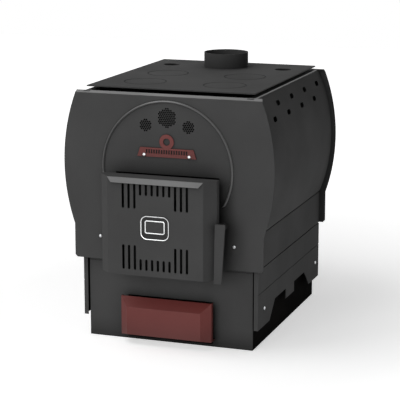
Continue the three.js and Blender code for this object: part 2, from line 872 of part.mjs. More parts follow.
function doorCover() {
  const back = doorPlateFront - seat;
  const outer = alongZ(bevelledPlan(doorPlan, back, 0), doorBottom, doorTop);
  const hollow = [doorBottom + coverSheet, doorTop - coverSheet];
  const inner = alongZ(bevelledPlan(doorPlan, back + 1, coverSheet), ...hollow);
  const tools = [];
  for (let i = 0; i < slotColumns; i++) {
    const x = (i - (slotColumns - 1) / 2) * slotPitch;
    const isLong = i < longSlotColumns || i >= slotColumns - longSlotColumns;
    const length = isLong ? longSlot : shortSlot;
    tools.push(slotTool(x, doorTop - slotMargin - length, doorTop - slotMargin));
    tools.push(slotTool(x, doorBottom + slotMargin, doorBottom + slotMargin + length));
  }
  return cut(outer, inner, ...tools);
}

// A lip along the cover's top edge that leans out over the slots, with mitred ends.
function doorVisor() {
  const back = doorFace - seat;
  const low = doorTop - visorDrop;
  const section = outline([
    [back, doorTop],
    [back - visorReach, low],
    [back - visorReach + visorSheet * 0.6, low - visorSheet * 0.4],
    [back, doorTop - 2 * visorSheet],
  ]);
  const half = doorFaceHalf + visorSheet;
  const strip = alongX(section, -half, half);
  const mitre = outline([
    [half, doorTop + 1],
    [half - visorDrop - 1, low - 2],
    [half + 2, low - 2],
  ]);
  const tool = alongY(mitre, visorFront - 1, back + 1);
  return cut(strip, tool, mirrored(tool));
}

function doorInnerPlate() {
  const ear = [latchX, latchHeight];
  const plate = join(
    box([-doorHalfWidth, doorHalfWidth], [doorPlateFront, doorBack], [doorBottom, doorTop]),
    box(
      [doorHalfWidth - 1, latchX],
      [doorPlateFront, doorBack],
      [latchHeight - latchEarRadius, latchHeight + latchEarRadius],
    ),
    rod("y", latchEarRadius, doorPlateFront, doorBack, ear, 24),
  );
  return cut(plate, rod("y", latchPinRadius + runningGap, doorPlateFront - 1, doorBack + 1, ear, 24));
}

function doorSeal() {
  const middleX = neckHalfWidth - vesselSheet / 2;
  const middleZ = [neckBottom + vesselSheet / 2, neckTop - vesselSheet / 2];
  const ring = (grow, depth) =>
    box(
      [-middleX - grow, middleX + grow],
      depth,
      [middleZ[0] - grow, middleZ[1] + grow],
    );
  const depth = [doorBack + seat, -neckReach - seat];
  return cut(ring(sealWidth / 2, depth), ring(-sealWidth / 2, [depth[0] - 1, depth[1] + 1]));
}

// The heat shield inside the door, on four posts.
function doorShield() {
  const bottom = neckBottom + vesselSheet + shieldMargin;
  const top = neckTop - vesselSheet - shieldMargin;
  const face = doorBack + shieldStandOff;
  const plate = box([-shieldHalfWidth, shieldHalfWidth], [face, face + shieldSheet], [bottom, top]);
  const posts = [];
  for (const x of [-1, 1])
    for (const z of [bottom + 2 * shieldMargin, top - 2 * shieldMargin]) {
      const place = [x * (shieldHalfWidth - 2 * shieldMargin), z];
      posts.push(rod("y", shieldPostRadius, doorBack + seat, face + 1, place, 14));
    }
  return join(plate, ...posts);
}

function roundedRectangle(width, height, radius, centreZ) {
  const [x, z] = [width / 2, height / 2];
  const shape = new THREE.Shape();
  shape.absarc(x - radius, centreZ + z - radius, radius, 0, Math.PI / 2, false);
  shape.absarc(-x + radius, centreZ + z - radius, radius, Math.PI / 2, Math.PI, false);
  shape.absarc(-x + radius, centreZ - z + radius, radius, Math.PI, 1.5 * Math.PI, false);
  shape.absarc(x - radius, centreZ - z + radius, radius, 1.5 * Math.PI, 2 * Math.PI, false);
  return shape;
}

function addDoor() {
  add("door_cover", doorCover(), paint);
  add("door_visor", doorVisor(), paint);
  add("door_plate", doorInnerPlate(), paint);
  add("door_seal", doorSeal(), rope);
  add("door_shield", doorShield(), soot);
  const badgeBack = doorFace - seat;
  const badge = roundedRectangle(badgeWidth, badgeHeight, badgeCorner, badgeRaise);
  add("door_badge", alongY(badge, badgeBack - badgeThickness, badgeBack, 5), zinc);
}

// ---- Hinges ----------------------------------------------------------------------------------

const knuckle = (z0) => rod("z", knuckleRadius, z0, z0 + knuckleLength, [hingeX, hingeY], 20);
const knuckleBore = (z0) =>
  rod("z", hingePinRadius + runningGap, z0 - 1, z0 + knuckleLength + 1, [hingeX, hingeY], 20);

function addHinge(name, z0) {
  const leafHalf = knuckleRadius / 2;
  const leafDepth = [hingeY - leafHalf, hingeY + leafHalf];
  const leaf = box([hingeX, -neckHalfWidth - seat], leafDepth, [z0, z0 + knuckleLength]);
  const fixed = join(knuckle(z0), leaf);
  add(`hinge_bracket_${name}`, cut(fixed, knuckleBore(z0)), paint);
  const z1 = z0 + knuckleLength + seat;
  const moving = join(
    knuckle(z1),
    box([hingeX - leafHalf, hingeX + leafHalf], [doorBack + seat, hingeY], [z1, z1 + knuckleLength]),
  );
  add(`hinge_knuckle_${name}`, cut(moving, knuckleBore(z1)), paint);
  const top = z1 + knuckleLength + seat;
  const pin = join(
    rod("z", hingePinRadius, z0 - hingePinRadius, top + 1, [hingeX, hingeY], 20),
    rod("z", hingePinHead, top, top + hingePinRadius, [hingeX, hingeY], 20),
  );
  add(`hinge_pin_${name}`, pin, zinc);
}

// ---- Latch -----------------------------------------------------------------------------------

function latchLever() {
  const middle = latchX + leverOffset;
  const shape = outline([
    [middle - leverTopWidth / 2, leverTop],
    [middle - leverTopWidth / 2 - leverLean / 2, leverBottom],
    [middle - leverTopWidth / 2 - leverLean / 2 + leverBottomWidth, leverBottom],
    [middle + leverTopWidth / 2, leverTop],
  ]);
  return alongY(shape, leverFront, leverBack);
}

function addLatch() {
  const place = [latchX, latchHeight];
  add("latch_lever", latchLever(), paint);
  const pin = rod("y", latchPinRadius, leverBack + seat, camBack + latchPinTail, place, 24);
  add("latch_pin", pin, paint);
  const armZ = [latchHeight - camWidth / 2, latchHeight + camWidth / 2];
  const cam = cut(
    join(
      rod("y", camHub, camFront, camBack, place, 24),
      box([latchX - camLength, latchX], [camFront, camBack], armZ),
    ),
    rod("y", latchPinRadius + seat, camFront - 1, camBack + 1, place, 24),
  );
  add("latch_cam", cam, paint);
}

// ---- Ash drawer ------------------------------------------------------------------------------

const drawerPlan = {
  half: drawerHalfWidth,
  faceHalf: drawerFaceHalf,
  sideFront: drawerSideFront,
  face: drawerFace,
};

// The shield's side view: the face, the slopes over and under it and an open top, moved in by an inset.
function drawerProfile(inset, back, floor, top) {
  const rise = drawerTop - drawerFaceTop;
  const lean = Math.atan2(drawerBevelDepth, rise);
  const corner = drawerFaceTop - inset * Math.tan(lean / 2);
  const front = drawerFace + inset;
  const slope = Math.atan2(drawerFaceBottom - drawerBottom, drawerBevelDepth);
  return outline([
    [front, drawerFaceBottom + inset * Math.tan((Math.PI / 2 - slope) / 2)],
    [drawerSideFront + inset * Math.tan(slope / 2), floor],
    [back, floor],
    [back, top],
    [front + (top - corner) * Math.tan(lean), top],
    [front, corner],
  ]);
}

function drawerFront() {
  const wide = [-drawerHalfWidth - 1, drawerHalfWidth + 1];
  const floor = drawerBottom + drawerSheet;
  const over = drawerTop + 1;
  const behind = drawerBack + 1;
  const outer = alongZ(bevelledPlan(drawerPlan, drawerBack, 0), drawerBottom, drawerTop).intersect(
    alongX(drawerProfile(0, drawerBack, drawerBottom, drawerTop), ...wide),
  );
  const inner = alongZ(bevelledPlan(drawerPlan, behind, drawerSheet), floor, over).intersect(
    alongX(drawerProfile(drawerSheet, behind, floor, over), ...wide),
  );
  const trayPlace = box(
    [-trayHalfWidth - seat, trayHalfWidth + seat],
    [trayFront - seat, behind],
    [drawerBottom - 1, over],
  );
  return cut(outer, inner, trayPlace, box(wide, [drawerSideBack, behind], [floor, over]));
}

function drawerTray() {
  const x = [-trayHalfWidth, trayHalfWidth];
  const y = [trayFront, trayBack];
  const low = trayBottom;
  const inner = box(
    x.map((v) => v - Math.sign(v) * drawerSheet),
    [y[0] + drawerSheet, y[1] - drawerSheet],
    [low + drawerSheet, trayTop + 1],
  );
  return cut(box(x, y, [low, trayTop]), inner);
}

function addDrawer() {
  add("drawer_front", drawerFront(), redPaint);
  add("drawer_tray", drawerTray(), soot);
}

addCasing();
addBase();
addFirebox();
addNeck();
addCooktop();
addTrim();
addDoor();
addHinge("lower", hingeHeights[0]);
addHinge("upper", hingeHeights[1]);
addLatch();
addDrawer();

export default stove;
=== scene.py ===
# %% [markdown]
# A small wood stove in sheet steel stands on a pale studio floor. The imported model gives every
# piece its place. Here the visible sheets are made again with bends, punched holes and soft
# edges, and every surface gets the finish of the real one.

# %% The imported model
import json
import math

import bmesh
import bpy
from mathutils import Matrix, Vector


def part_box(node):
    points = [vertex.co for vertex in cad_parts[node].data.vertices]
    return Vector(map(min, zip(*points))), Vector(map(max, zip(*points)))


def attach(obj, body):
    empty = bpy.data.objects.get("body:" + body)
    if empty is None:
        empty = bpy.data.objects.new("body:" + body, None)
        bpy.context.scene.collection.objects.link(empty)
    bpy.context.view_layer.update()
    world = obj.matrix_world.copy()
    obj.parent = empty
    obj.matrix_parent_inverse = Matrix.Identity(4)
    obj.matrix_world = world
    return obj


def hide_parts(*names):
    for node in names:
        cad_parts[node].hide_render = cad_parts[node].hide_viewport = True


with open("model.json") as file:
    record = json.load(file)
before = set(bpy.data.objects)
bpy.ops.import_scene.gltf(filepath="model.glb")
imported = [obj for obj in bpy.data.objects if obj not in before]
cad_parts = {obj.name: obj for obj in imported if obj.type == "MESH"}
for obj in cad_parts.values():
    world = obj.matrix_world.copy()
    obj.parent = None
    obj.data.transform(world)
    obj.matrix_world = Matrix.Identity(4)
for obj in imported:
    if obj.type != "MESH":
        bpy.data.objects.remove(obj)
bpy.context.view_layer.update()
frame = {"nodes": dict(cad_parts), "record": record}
mm = 0.001
print("packed nodes:", len(frame["nodes"]))


# %% [markdown]
# Colours are written as the hex values that a paint program shows. Cycles works with linear
# light, so one function turns them round. Another adds a node, its settings and its links, for
# materials and geometry alike, because both kinds of tree are built in the same way.


# %% Colour and node helpers
def linear(hex_code):
    values = [int(hex_code[i : i + 2], 16) / 255 for i in (1, 3, 5)]
    curve = [v / 12.92 if v <= 0.04045 else ((v + 0.055) / 1.055) ** 2.4 for v in values]
    return (*curve, 1.0)


def grey(value):
    return (value, value, value, 1.0)


def add(tree, kind, inputs=None, **settings):
    node = tree.nodes.new(kind)
    for name, value in settings.items():
        setattr(node, name, value)
    for key, value in (inputs or {}).items():
        if isinstance(value, bpy.types.NodeSocket):
            tree.links.new(value, node.inputs[key])
        else:
            node.inputs[key].default_value = value
    return node


def blend(tree, factor, stops, *colours):
    node = add(tree, "ShaderNodeValToRGB", {"Fac": factor})
    for end, place, colour in zip(node.color_ramp.elements, stops, colours):
        end.position = place
        end.color = colour
    return node.outputs["Color"]


print("black and white:", linear("#000000")[0], linear("#ffffff")[0])

# %% [markdown]
# Stove paint is a silicone resin sprayed on in a thin coat and baked. It dries matt with a very
# fine tooth, and thin haze, finger marks and dust make its sheen uneven. Two noises do that: a
# tight one for the tooth, drawn coarser than the real 0.2 mm so that it shows, and a wide one for
# the haze. The colour is darkened where the surroundings close in on the surface, in corners, gaps
# and under parts: that is painted shade. Paint is a dielectric: it isn't metallic and its index of
# refraction is 1.5.

# %% Painted steel
HAZE_MM = 140
PAINT_STOPS = (0.3, 0.7)  # noise values where a ramp reaches its two ends


def blank_material(name):
    material = bpy.data.materials.new(name)
    material.use_nodes = True
    material.node_tree.nodes.clear()
    return material, material.node_tree


def noise(tree, size_mm, detail, roughness):
    place = add(tree, "ShaderNodeTexCoord").outputs["Object"]
    inputs = {"Vector": place, "Scale": 1 / (size_mm * mm)}
    inputs.update({"Detail": detail, "Roughness": roughness})
    return add(tree, "ShaderNodeTexNoise", inputs).outputs["Fac"]


def bumped(tree, height, strength, height_mm):
    inputs = {"Strength": strength, "Distance": height_mm * mm, "Height": height}
    return add(tree, "ShaderNodeBump", inputs).outputs["Normal"]


def surface(tree, inputs):
    shader = add(tree, "ShaderNodeBsdfPrincipled", inputs)
    add(tree, "ShaderNodeOutputMaterial", {"Surface": shader.outputs["BSDF"]})


def painted(name, dark, light, roughness, gloss, painted_shade_mm=55, tooth_mm=1.4, tooth_height_mm=0.05):
    material, tree = blank_material(name)
    haze = noise(tree, HAZE_MM, 5.0, 0.55)
    colour = blend(tree, haze, PAINT_STOPS, linear(dark), linear(light))
    painted_shade = {"Color": colour, "Distance": painted_shade_mm * mm}
    low, high = roughness
    inputs = {
        # painted shade: the colour darkens where other surfaces are near
        "Base Color": add(tree, "ShaderNodeAmbientOcclusion", painted_shade, samples=8).outputs["Color"],
        "Roughness": blend(tree, haze, PAINT_STOPS, grey(high), grey(low)),
        "IOR": 1.5,
        "Specular IOR Level": gloss,
        "Normal": bumped(tree, noise(tree, tooth_mm, 3.0, 0.6), 0.35, tooth_height_mm),
    }
    surface(tree, inputs)
    return material


stove_paint = painted("matt_stove_paint", "#444444", "#484848", (0.8, 0.9), 0.1)
# the red takes a wider reach of painted shade, which darkens the drawer's top bevel
red_paint = painted("satin_red_paint", "#602724", "#662a26", (0.5, 0.6), 0.35, 90)
# near black: painted shade behind the door's slots
slot_shade_paint = painted("black_painted_shade", "#1a1a1a", "#202020", (0.85, 0.95), 0.05, 40)
# the badge's own dark field, and painted shade inside the cooking top's grooves
badge_field_and_groove_shade_paint = painted("badge_grey_and_groove_shade_paint", "#363636", "#3a3a3a", (0.75, 0.85), 0.1, 20)
edge_paint = painted("satin_grey_paint", "#444444", "#484848", (0.35, 0.45), 0.6, 20)
# The visor's grey is lighter than the stove's: a painted highlight for the light on its slope.
visor_highlight_paint = painted("satin_visor_paint_with_painted_highlight", "#5e5e5e", "#636363", (0.5, 0.6), 0.5)
print("paints:", stove_paint.name, red_paint.name, visor_highlight_paint.name)

# %% [markdown]
# Inside, the fire burns the paint off and lays down soot: nearly black, very rough, with greyer
# patches of ash. The grate is bare grey iron cast in sand, whose skin is grainy at about 1 mm.
# Screws are zinc plated steel, a metal with a slightly cloudy shine. One noise gives a metal its
# colour, shine and grain, because the three change together on the real skin.

# %% Soot, cast iron and zinc
METAL_STOPS = (0.35, 0.65)


def bare_metal(name, dark, light, roughness, grain_mm, grain_height_mm):
    material, tree = blank_material(name)
    grain = noise(tree, grain_mm, 4.0, 0.6)
    inputs = {
        "Base Color": blend(tree, grain, METAL_STOPS, linear(dark), linear(light)),
        "Metallic": 1.0,
        "Roughness": blend(tree, grain, METAL_STOPS, *map(grey, roughness)),
        "Normal": bumped(tree, grain, 0.5, grain_height_mm),
    }
    surface(tree, inputs)
    return material


# near black for the soot inside the fire; on the base's side walls under the skirts it is painted
# shade
soot_and_shade_black = painted("soot_and_shade_black", "#050505", "#0d0c0b", (0.9, 0.95), 0.01, 55, 3.0, 0.2)
zinc_plate = bare_metal("bright_zinc_plate", "#b6b8ba", "#cdcecf", (0.28, 0.4), 1.5, 0.02)
cast_iron = bare_metal("sand_cast_iron", "#2c2a29", "#3f3c3a", (0.6, 0.75), 1.2, 0.25)
satin_aluminium = bare_metal("satin_aluminium", "#bcbdbe", "#c8c9c9", (0.35, 0.42), 0.8, 0.01)
glass_rope = painted("glass_fibre_rope", "#b9b2a3", "#ddd8cc", (0.85, 0.95), 0.3, 20, 2.0, 0.6)
print("metals:", zinc_plate.name, cast_iron.name, satin_aluminium.name)

# %% [markdown]
# A finished piece is a plain mesh at the origin with its place in its vertices. A sheet's sawn or
# sheared edge is never quite sharp, so a narrow bevel runs round it and catches the light. A short
# profile that runs straight across, or a stack of outlines, is skinned from one ring of points to
# the next, which is quicker to write than a node tree when it is used once.

# %% Mesh helpers
BEVEL_ANGLE = math.radians(30)
SHARP_ANGLE = math.radians(38)
FLAT_ANGLE = math.radians(0.4)
WELD = 1e-6


def new_object(name, mesh):
    piece = bpy.data.objects.new(name, mesh)
    bpy.context.scene.collection.objects.link(piece)
    return piece


def object_from(bm, name):
    mesh = bpy.data.meshes.new(name)
    bm.to_mesh(mesh)
    bm.free()
    return new_object(name, mesh)


def bake(piece):
    graph = bpy.context.evaluated_depsgraph_get()
    mesh = bpy.data.meshes.new_from_object(piece.evaluated_get(graph))
    mesh.name = piece.name
    piece.modifiers.clear()
    piece.data = mesh
    return piece


def soften(piece, width_mm, segments=2):
    bevel = piece.modifiers.new("edge", "BEVEL")
    bevel.width = width_mm * mm
    bevel.segments = segments
    bevel.limit_method = "ANGLE"
    bevel.angle_limit = BEVEL_ANGLE
    return bake(piece)


def shade(piece):
    piece.data.shade_smooth()
    piece.data.set_sharp_from_angle(angle=SHARP_ANGLE)
    weights = piece.modifiers.new("large_faces_stay_flat", "WEIGHTED_NORMAL")
    weights.keep_sharp = True
    weights.weight = 90
    bake(piece)


def welded_copy(node):
    bm = bmesh.new()
    bm.from_mesh(frame["nodes"][node].data)
    bmesh.ops.remove_doubles(bm, verts=bm.verts, dist=WELD)
    bmesh.ops.dissolve_limit(bm, angle_limit=FLAT_ANGLE, verts=bm.verts, edges=bm.edges)
    return object_from(bm, node + "_finished")


def mirrored_copy(piece, name):
    bm = bmesh.new()
    bm.from_mesh(piece.data)
    for vertex in bm.verts:
        vertex.co.x = -vertex.co.x
    bmesh.ops.reverse_faces(bm, faces=bm.faces)
    return object_from(bm, name)


def skin(name, rings):
    bm = bmesh.new()
    loops = [[bm.verts.new(place) for place in ring] for ring in rings]
    for here, there in zip(loops, loops[1:]):
        for i in range(len(here)):
            j = (i + 1) % len(here)
            bm.faces.new((here[i], here[j], there[j], there[i]))
    bm.faces.new(loops[0])
    bm.faces.new(loops[-1])
    bmesh.ops.recalc_face_normals(bm, faces=bm.faces)
    return object_from(bm, name)


def merge_into(piece, *others):
    bm = bmesh.new()
    for part in (piece, *others):
        bm.from_mesh(part.data)
    bm.to_mesh(piece.data)
    bm.free()
    for part in others:
        bpy.data.objects.remove(part)
    return piece


print("bevels from", round(math.degrees(BEVEL_ANGLE)), "degrees up")

# %% [markdown]
# A dressed piece has its shading, its finish and its place in the frame. Some faces then get a
# second finish: a rubbed bend is glossier, because on the real sheet only it catches the light,
# and the inside of a groove gets a darker grey as painted shade.


# %% Dressing a piece
def dress(piece, material, slot, body, *nodes):
    shade(piece)
    piece.data.materials.clear()
    piece.data.materials.append(material)
    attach(piece, body)
    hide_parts(*nodes)


def tint(piece, material, chosen):
    piece.data.materials.append(material)
    for face in piece.data.polygons:
        if chosen(face):
            face.material_index = len(piece.data.materials) - 1


def catch_light(piece, above):
    tint(piece, edge_paint, lambda face: face.center.z > above and 0.3 < face.normal.z < 0.95)


def size_of(node):
    low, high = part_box(node)
    return [round((b - a) / mm, 1) for a, b in zip(low, high)]


print("front panel, mm:", size_of("front_panel"))

# %% [markdown]
# Sheet parts are cut flat, raised to their thickness, stood up and punched, and every tree below
# follows that order. It takes a drawn shape and some named sizes, and its last two nodes make the
# copies real and set the material.

# %% Geometry Nodes helpers
UPRIGHT = (math.pi / 2, 0, 0)
SEAM = 0.01 * mm


def begin_tree(name, sizes):
    tree = bpy.data.node_groups.new(name, "GeometryNodeTree")
    tree.interface.new_socket("Shape", in_out="INPUT", socket_type="NodeSocketGeometry")
    for label in sizes:
        tree.interface.new_socket(label, in_out="INPUT", socket_type="NodeSocketFloat")
    tree.interface.new_socket("Material", in_out="INPUT", socket_type="NodeSocketMaterial")
    tree.interface.new_socket("Geometry", in_out="OUTPUT", socket_type="NodeSocketGeometry")
    return tree, tree.nodes.new("NodeGroupInput").outputs


def end_tree(tree, geometry, material):
    real = add(tree, "GeometryNodeRealizeInstances", {"Geometry": geometry})
    made = {"Geometry": real.outputs[0], "Material": material}
    last = add(tree, "GeometryNodeSetMaterial", made)
    add(tree, "NodeGroupOutput", {0: last.outputs[0]})
    return tree


def grow(name, tree, base, values):
    piece = new_object(name, base)
    modifier = piece.modifiers.new("grow", "NODES")
    modifier.node_group = tree
    sockets = tree.interface.items_tree
    keys = {item.name: item.identifier for item in sockets if item.in_out == "INPUT"}
    for label, value in values.items():
        modifier[keys[label]] = value
    return bake(piece)


def math_of(tree, operation, a, b=0.0):
    return add(tree, "ShaderNodeMath", {0: a, 1: b}, operation=operation).outputs[0]


def times(tree, a, b):
    return math_of(tree, "MULTIPLY", a, b)


def vector(tree, **parts):
    return add(tree, "ShaderNodeCombineXYZ", parts).outputs[0]


def together(tree, *parts):
    node = add(tree, "GeometryNodeJoinGeometry")
    for part in parts:
        tree.links.new(part, node.inputs[0])
    return node.outputs[0]


def placed(tree, geometry, **change):
    return add(tree, "GeometryNodeTransform", {"Geometry": geometry, **change}).outputs[0]


def copies(tree, points, instance, **turn):
    inputs = {"Points": points, "Instance": instance, **turn}
    return add(tree, "GeometryNodeInstanceOnPoints", inputs).outputs[0]


def row_of_points(tree, count, start, step):
    inputs = {"Count": count, "Start Location": start, "Offset": step}
    return add(tree, "GeometryNodeMeshLine", inputs).outputs[0]


def ring(tree, points, radius):
    inputs = {"Resolution": points, "Radius": radius}
    return add(tree, "GeometryNodeCurvePrimitiveCircle", inputs).outputs[0]


def drill(tree, sides, radius, depth):
    inputs = {"Vertices": sides, "Radius": radius, "Depth": depth}
    return add(tree, "GeometryNodeMeshCylinder", inputs).outputs["Mesh"]


def drawn(tree, shape):
    return add(tree, "GeometryNodeMeshToCurve", {"Mesh": shape}).outputs[0]


def plate(tree, curves, thickness):
    flat = add(tree, "GeometryNodeFillCurve", {0: curves}, mode="TRIANGLES").outputs[0]
    rise = {"Mesh": flat, "Offset Scale": thickness, "Individual": False}
    raised = add(tree, "GeometryNodeExtrudeMesh", rise).outputs["Mesh"]
    back = add(tree, "GeometryNodeFlipFaces", {"Mesh": flat}).outputs[0]
    seam = {"Geometry": together(tree, raised, back), "Distance": SEAM}
    return add(tree, "GeometryNodeMergeByDistance", seam).outputs[0]


def carved(tree, body, *cutters):
    node = add(
        tree, "GeometryNodeMeshBoolean", {"Mesh 1": body}, operation="DIFFERENCE", solver="EXACT"
    )
    for cutter in cutters:
        tree.links.new(cutter, node.inputs["Mesh 2"])
    return node.outputs[0]


def loops_mesh(name, *loops):
    mesh = bpy.data.meshes.new(name)
    points = [(x, y, 0.0) for loop in loops for x, y in loop]
    edges = []
    start = 0
    for loop in loops:
        count = len(loop)
        edges += [(start + i, start + (i + 1) % count) for i in range(count)]
        start += count
    mesh.from_pydata(points, edges, [])
    return mesh


def rectangle(low, high):
    return [(low[0], low[1]), (high[0], low[1]), (high[0], high[1]), (low[0], high[1])]


def circle(centre, radius, count):
    turns = [2 * math.pi * i / count for i in range(count)]
    return [(centre[0] + radius * math.cos(t), centre[1] + radius * math.sin(t)) for t in turns]


print("helpers ready")

# %% [markdown]
# The front panel is one pressed sheet. Its sides bulge in a wide arc, and a rectangle is cut out
# for the door's neck. The arc is drawn as short straight runs from one radius, so the panel and
# the side sheets can share it.

# %% The panel's outline
panel_low, panel_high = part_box("front_panel")
SHEET = 2.5 * mm
BULGE_RADIUS = 495 * mm
BULGE_Z = 457 * mm
BULGE_FOOT_Z = 297 * mm
ARC_STEPS = 56
FOLD = 6 * mm
CORNER_CUT = 6 * mm
WINDOW_HALF = 137 * mm
WINDOW_Z = (216 * mm, 439 * mm)
panel_top = panel_high[2]
fold_z = panel_top - FOLD


def arc_heights(top):
    return [top + (BULGE_FOOT_Z - top) * i / ARC_STEPS for i in range(ARC_STEPS + 1)]


def arc_x(z, widest, radius):
    return widest - radius + math.sqrt(radius**2 - (z - BULGE_Z) ** 2)


def bulge_x(z):
    return arc_x(z, panel_high[0], BULGE_RADIUS)


foot_x = bulge_x(BULGE_FOOT_Z)
right_side = [(bulge_x(z), z) for z in arc_heights(fold_z)]
right_side += [(foot_x, panel_low[2] + CORNER_CUT), (foot_x - CORNER_CUT, panel_low[2])]
panel_outline = right_side + [(-x, z) for x, z in reversed(right_side)]
neck_window = rectangle((-WINDOW_HALF, WINDOW_Z[0]), (WINDOW_HALF, WINDOW_Z[1]))
print("panel outline points:", len(panel_outline))

# %% [markdown]
# Three round grilles are punched in the panel as staggered holes. Each is a grid of points with
# every other row shifted, of which only those within the grille's circle are kept. Filling the
# outline and the hole circles all at once gives clean holes without cutting. The rear panel is
# the same sheet without window and holes.

# %% The punched sheet
SIDE_GRILLE = (56.3 * mm, 561.3 * mm)
GRILLES = [((0.0, 582 * mm), 25.5 * mm)]
GRILLES += [((side * SIDE_GRILLE[0], SIDE_GRILLE[1]), 18 * mm) for side in (-1, 1)]
LATTICE = 13
HOLE_SIDES = 14


def lattice(tree, pitch, centre, radius):
    span = times(tree, pitch, LATTICE - 1)
    rise = times(tree, span, math.sqrt(3) / 2)
    size = {"Size X": span, "Size Y": rise, "Vertices X": LATTICE, "Vertices Y": LATTICE}
    grid = add(tree, "GeometryNodeMeshGrid", size).outputs["Mesh"]
    row = math_of(tree, "MODULO", add(tree, "GeometryNodeInputIndex").outputs[0], LATTICE)
    odd = math_of(tree, "MODULO", row, 2)
    step = vector(tree, X=times(tree, times(tree, odd, pitch), 0.5))
    shifted = {"Geometry": grid, "Offset": step}
    staggered = add(tree, "GeometryNodeSetPosition", shifted).outputs[0]
    here = add(tree, "GeometryNodeInputPosition").outputs[0]
    reach = add(tree, "ShaderNodeVectorMath", {0: here}, operation="LENGTH").outputs["Value"]
    outside = {"Geometry": staggered, "Selection": math_of(tree, "GREATER_THAN", reach, radius)}
    kept = add(tree, "GeometryNodeDeleteGeometry", outside, domain="POINT").outputs[0]
    return placed(tree, kept, Translation=(*centre, 0.0))


def panel_tree(grilles):
    sizes = ["Sheet thickness", "Hole radius", "Hole pitch", "Back face Y"]
    tree, given = begin_tree("punched_panel", sizes)
    hole = ring(tree, HOLE_SIDES, given["Hole radius"])
    curves = [drawn(tree, given["Shape"])]
    for centre, radius in grilles:
        inner = math_of(tree, "SUBTRACT", radius, given["Hole radius"])
        holes = copies(tree, lattice(tree, given["Hole pitch"], centre, inner), hole)
        real = add(tree, "GeometryNodeRealizeInstances", {"Geometry": holes})
        curves.append(real.outputs[0])
    sheet = plate(tree, together(tree, *curves), given["Sheet thickness"])
    back = vector(tree, Y=given["Back face Y"])
    upright = placed(tree, sheet, Rotation=UPRIGHT, Translation=back)
    return end_tree(tree, upright, given["Material"])


def panel_sheet(name, grilles, loops, back_y):
    values = {
        "Sheet thickness": SHEET,
        "Hole radius": 2.2 * mm,
        "Hole pitch": 5.3 * mm,
        "Back face Y": back_y,
        "Material": stove_paint,
    }
    return grow(name, panel_tree(grilles), loops_mesh(name, *loops), values)


panel_front_y = panel_low[1]
front_sheet = panel_sheet(
    "front_panel_sheet", GRILLES, [panel_outline, neck_window], panel_front_y + SHEET
)
rear_face_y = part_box("rear_panel")[1][1]
rear_sheet = panel_sheet("rear_panel_sheet", [], [panel_outline], rear_face_y)
print("front panel faces:", len(front_sheet.data.polygons))

# %% [markdown]
# Along the top each panel folds back at 45 degrees over a small bend radius. That bend catches
# the overhead light as a thin bright line, so it is drawn as a real arc. The strip's ends follow
# the bulging outline.

# %% The folded top lips
FOLD_BEND = 2.6 * mm
FOLD_STEPS = 6
BEND_START = 0.4  # of the bend's radius, by which it starts below the flat sheet's top edge
LIP_END = 0.7  # of the sheet, by which the lip's inner edge stays below its outer one


def fold_section():
    outer, inner = [], []
    thin = FOLD_BEND - SHEET
    for i in range(FOLD_STEPS + 1):
        turn = math.radians(45) * i / FOLD_STEPS
        z = fold_z + FOLD_BEND * math.sin(turn) - BEND_START * FOLD_BEND
        outer.append((FOLD_BEND - FOLD_BEND * math.cos(turn), z))
        inner.append((FOLD_BEND - thin * math.cos(turn), z - SHEET * math.sin(turn)))
    for side, end_z in ((outer, panel_top), (inner, panel_top - SHEET * LIP_END)):
        y, z = side[-1]
        side.append((y + end_z - z, end_z))
    return outer + inner[::-1]


def fold_strip(name, front_y, towards_back):
    section = fold_section()
    rings = [
        [(side * bulge_x(z), front_y + towards_back * y, z) for y, z in section]
        for side in (-1, 1)
    ]
    return soften(skin(name, rings), 0.3)


for sheet, node, strip, face_y, towards_back in (
    (front_sheet, "front_panel", "front_fold", panel_front_y, 1),
    (rear_sheet, "rear_panel", "rear_fold", rear_face_y, -1),
):
    merge_into(soften(sheet, 0.35), fold_strip(strip, face_y, towards_back))
    dress(sheet, stove_paint, "grey_paint", "stove", node)
    catch_light(sheet, fold_z)
print("panels:", front_sheet.name, rear_sheet.name)

# %% [markdown]
# Each side of the casing is a long sheet rolled to the same arc. Its section is drawn once, with
# the pressed bead at the foot and a flange at the top, whose edge turns down behind the vents so
# that nobody looks straight through. Eight vents in two staggered rows are then cut by cylinders
# placed on two lines of points.

# %% The rolled side sheets
SIDE_SHEET = 1 * mm
SIDE_BEND = 3 * mm
BEND_STEPS = 6
FLANGE = 18 * mm
LIP = 52 * mm
BEAD = 2.2 * mm
VENT_CUT = 44 * mm  # long enough to pass the sheet wherever a vent lies on its arc
side_low, side_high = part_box("side_casing_right")


def side_section():
    widest, foot = side_high[0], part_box("side_skirt_right")[1][0]
    reach, rise = BULGE_Z - BULGE_FOOT_Z, widest - foot
    radius = (reach**2 + rise**2) / (2 * rise)
    top = side_high[2]
    outer = [(arc_x(z, widest, radius), z) for z in arc_heights(top)[:-1]]
    corner = outer[0][0]
    turns = [math.pi / 2 * (1 - i / BEND_STEPS) for i in range(BEND_STEPS + 1)]
    bend = [(math.cos(turn) - 1, math.sin(turn) - 1) for turn in turns]
    bend = [(corner + SIDE_BEND * x, top + SIDE_BEND * z) for x, z in bend]
    outer = bend + [(x, z) for x, z in outer if z < top - SIDE_BEND]
    outer += [(foot, BULGE_FOOT_Z + BEAD), (foot - BEAD, BULGE_FOOT_Z)]
    outer += [(foot, BULGE_FOOT_Z - BEAD), (foot, side_low[2])]
    inner = [(x - SIDE_SHEET, z) for x, z in outer if z < top - SIDE_SHEET]
    under = top - SIDE_SHEET
    lip = corner - FLANGE
    behind = [(corner - SIDE_SHEET, under), (lip + SIDE_SHEET, under)]
    behind += [(lip + SIDE_SHEET, top - LIP), (lip, top - LIP), (lip, top)]
    return outer + inner[::-1] + behind


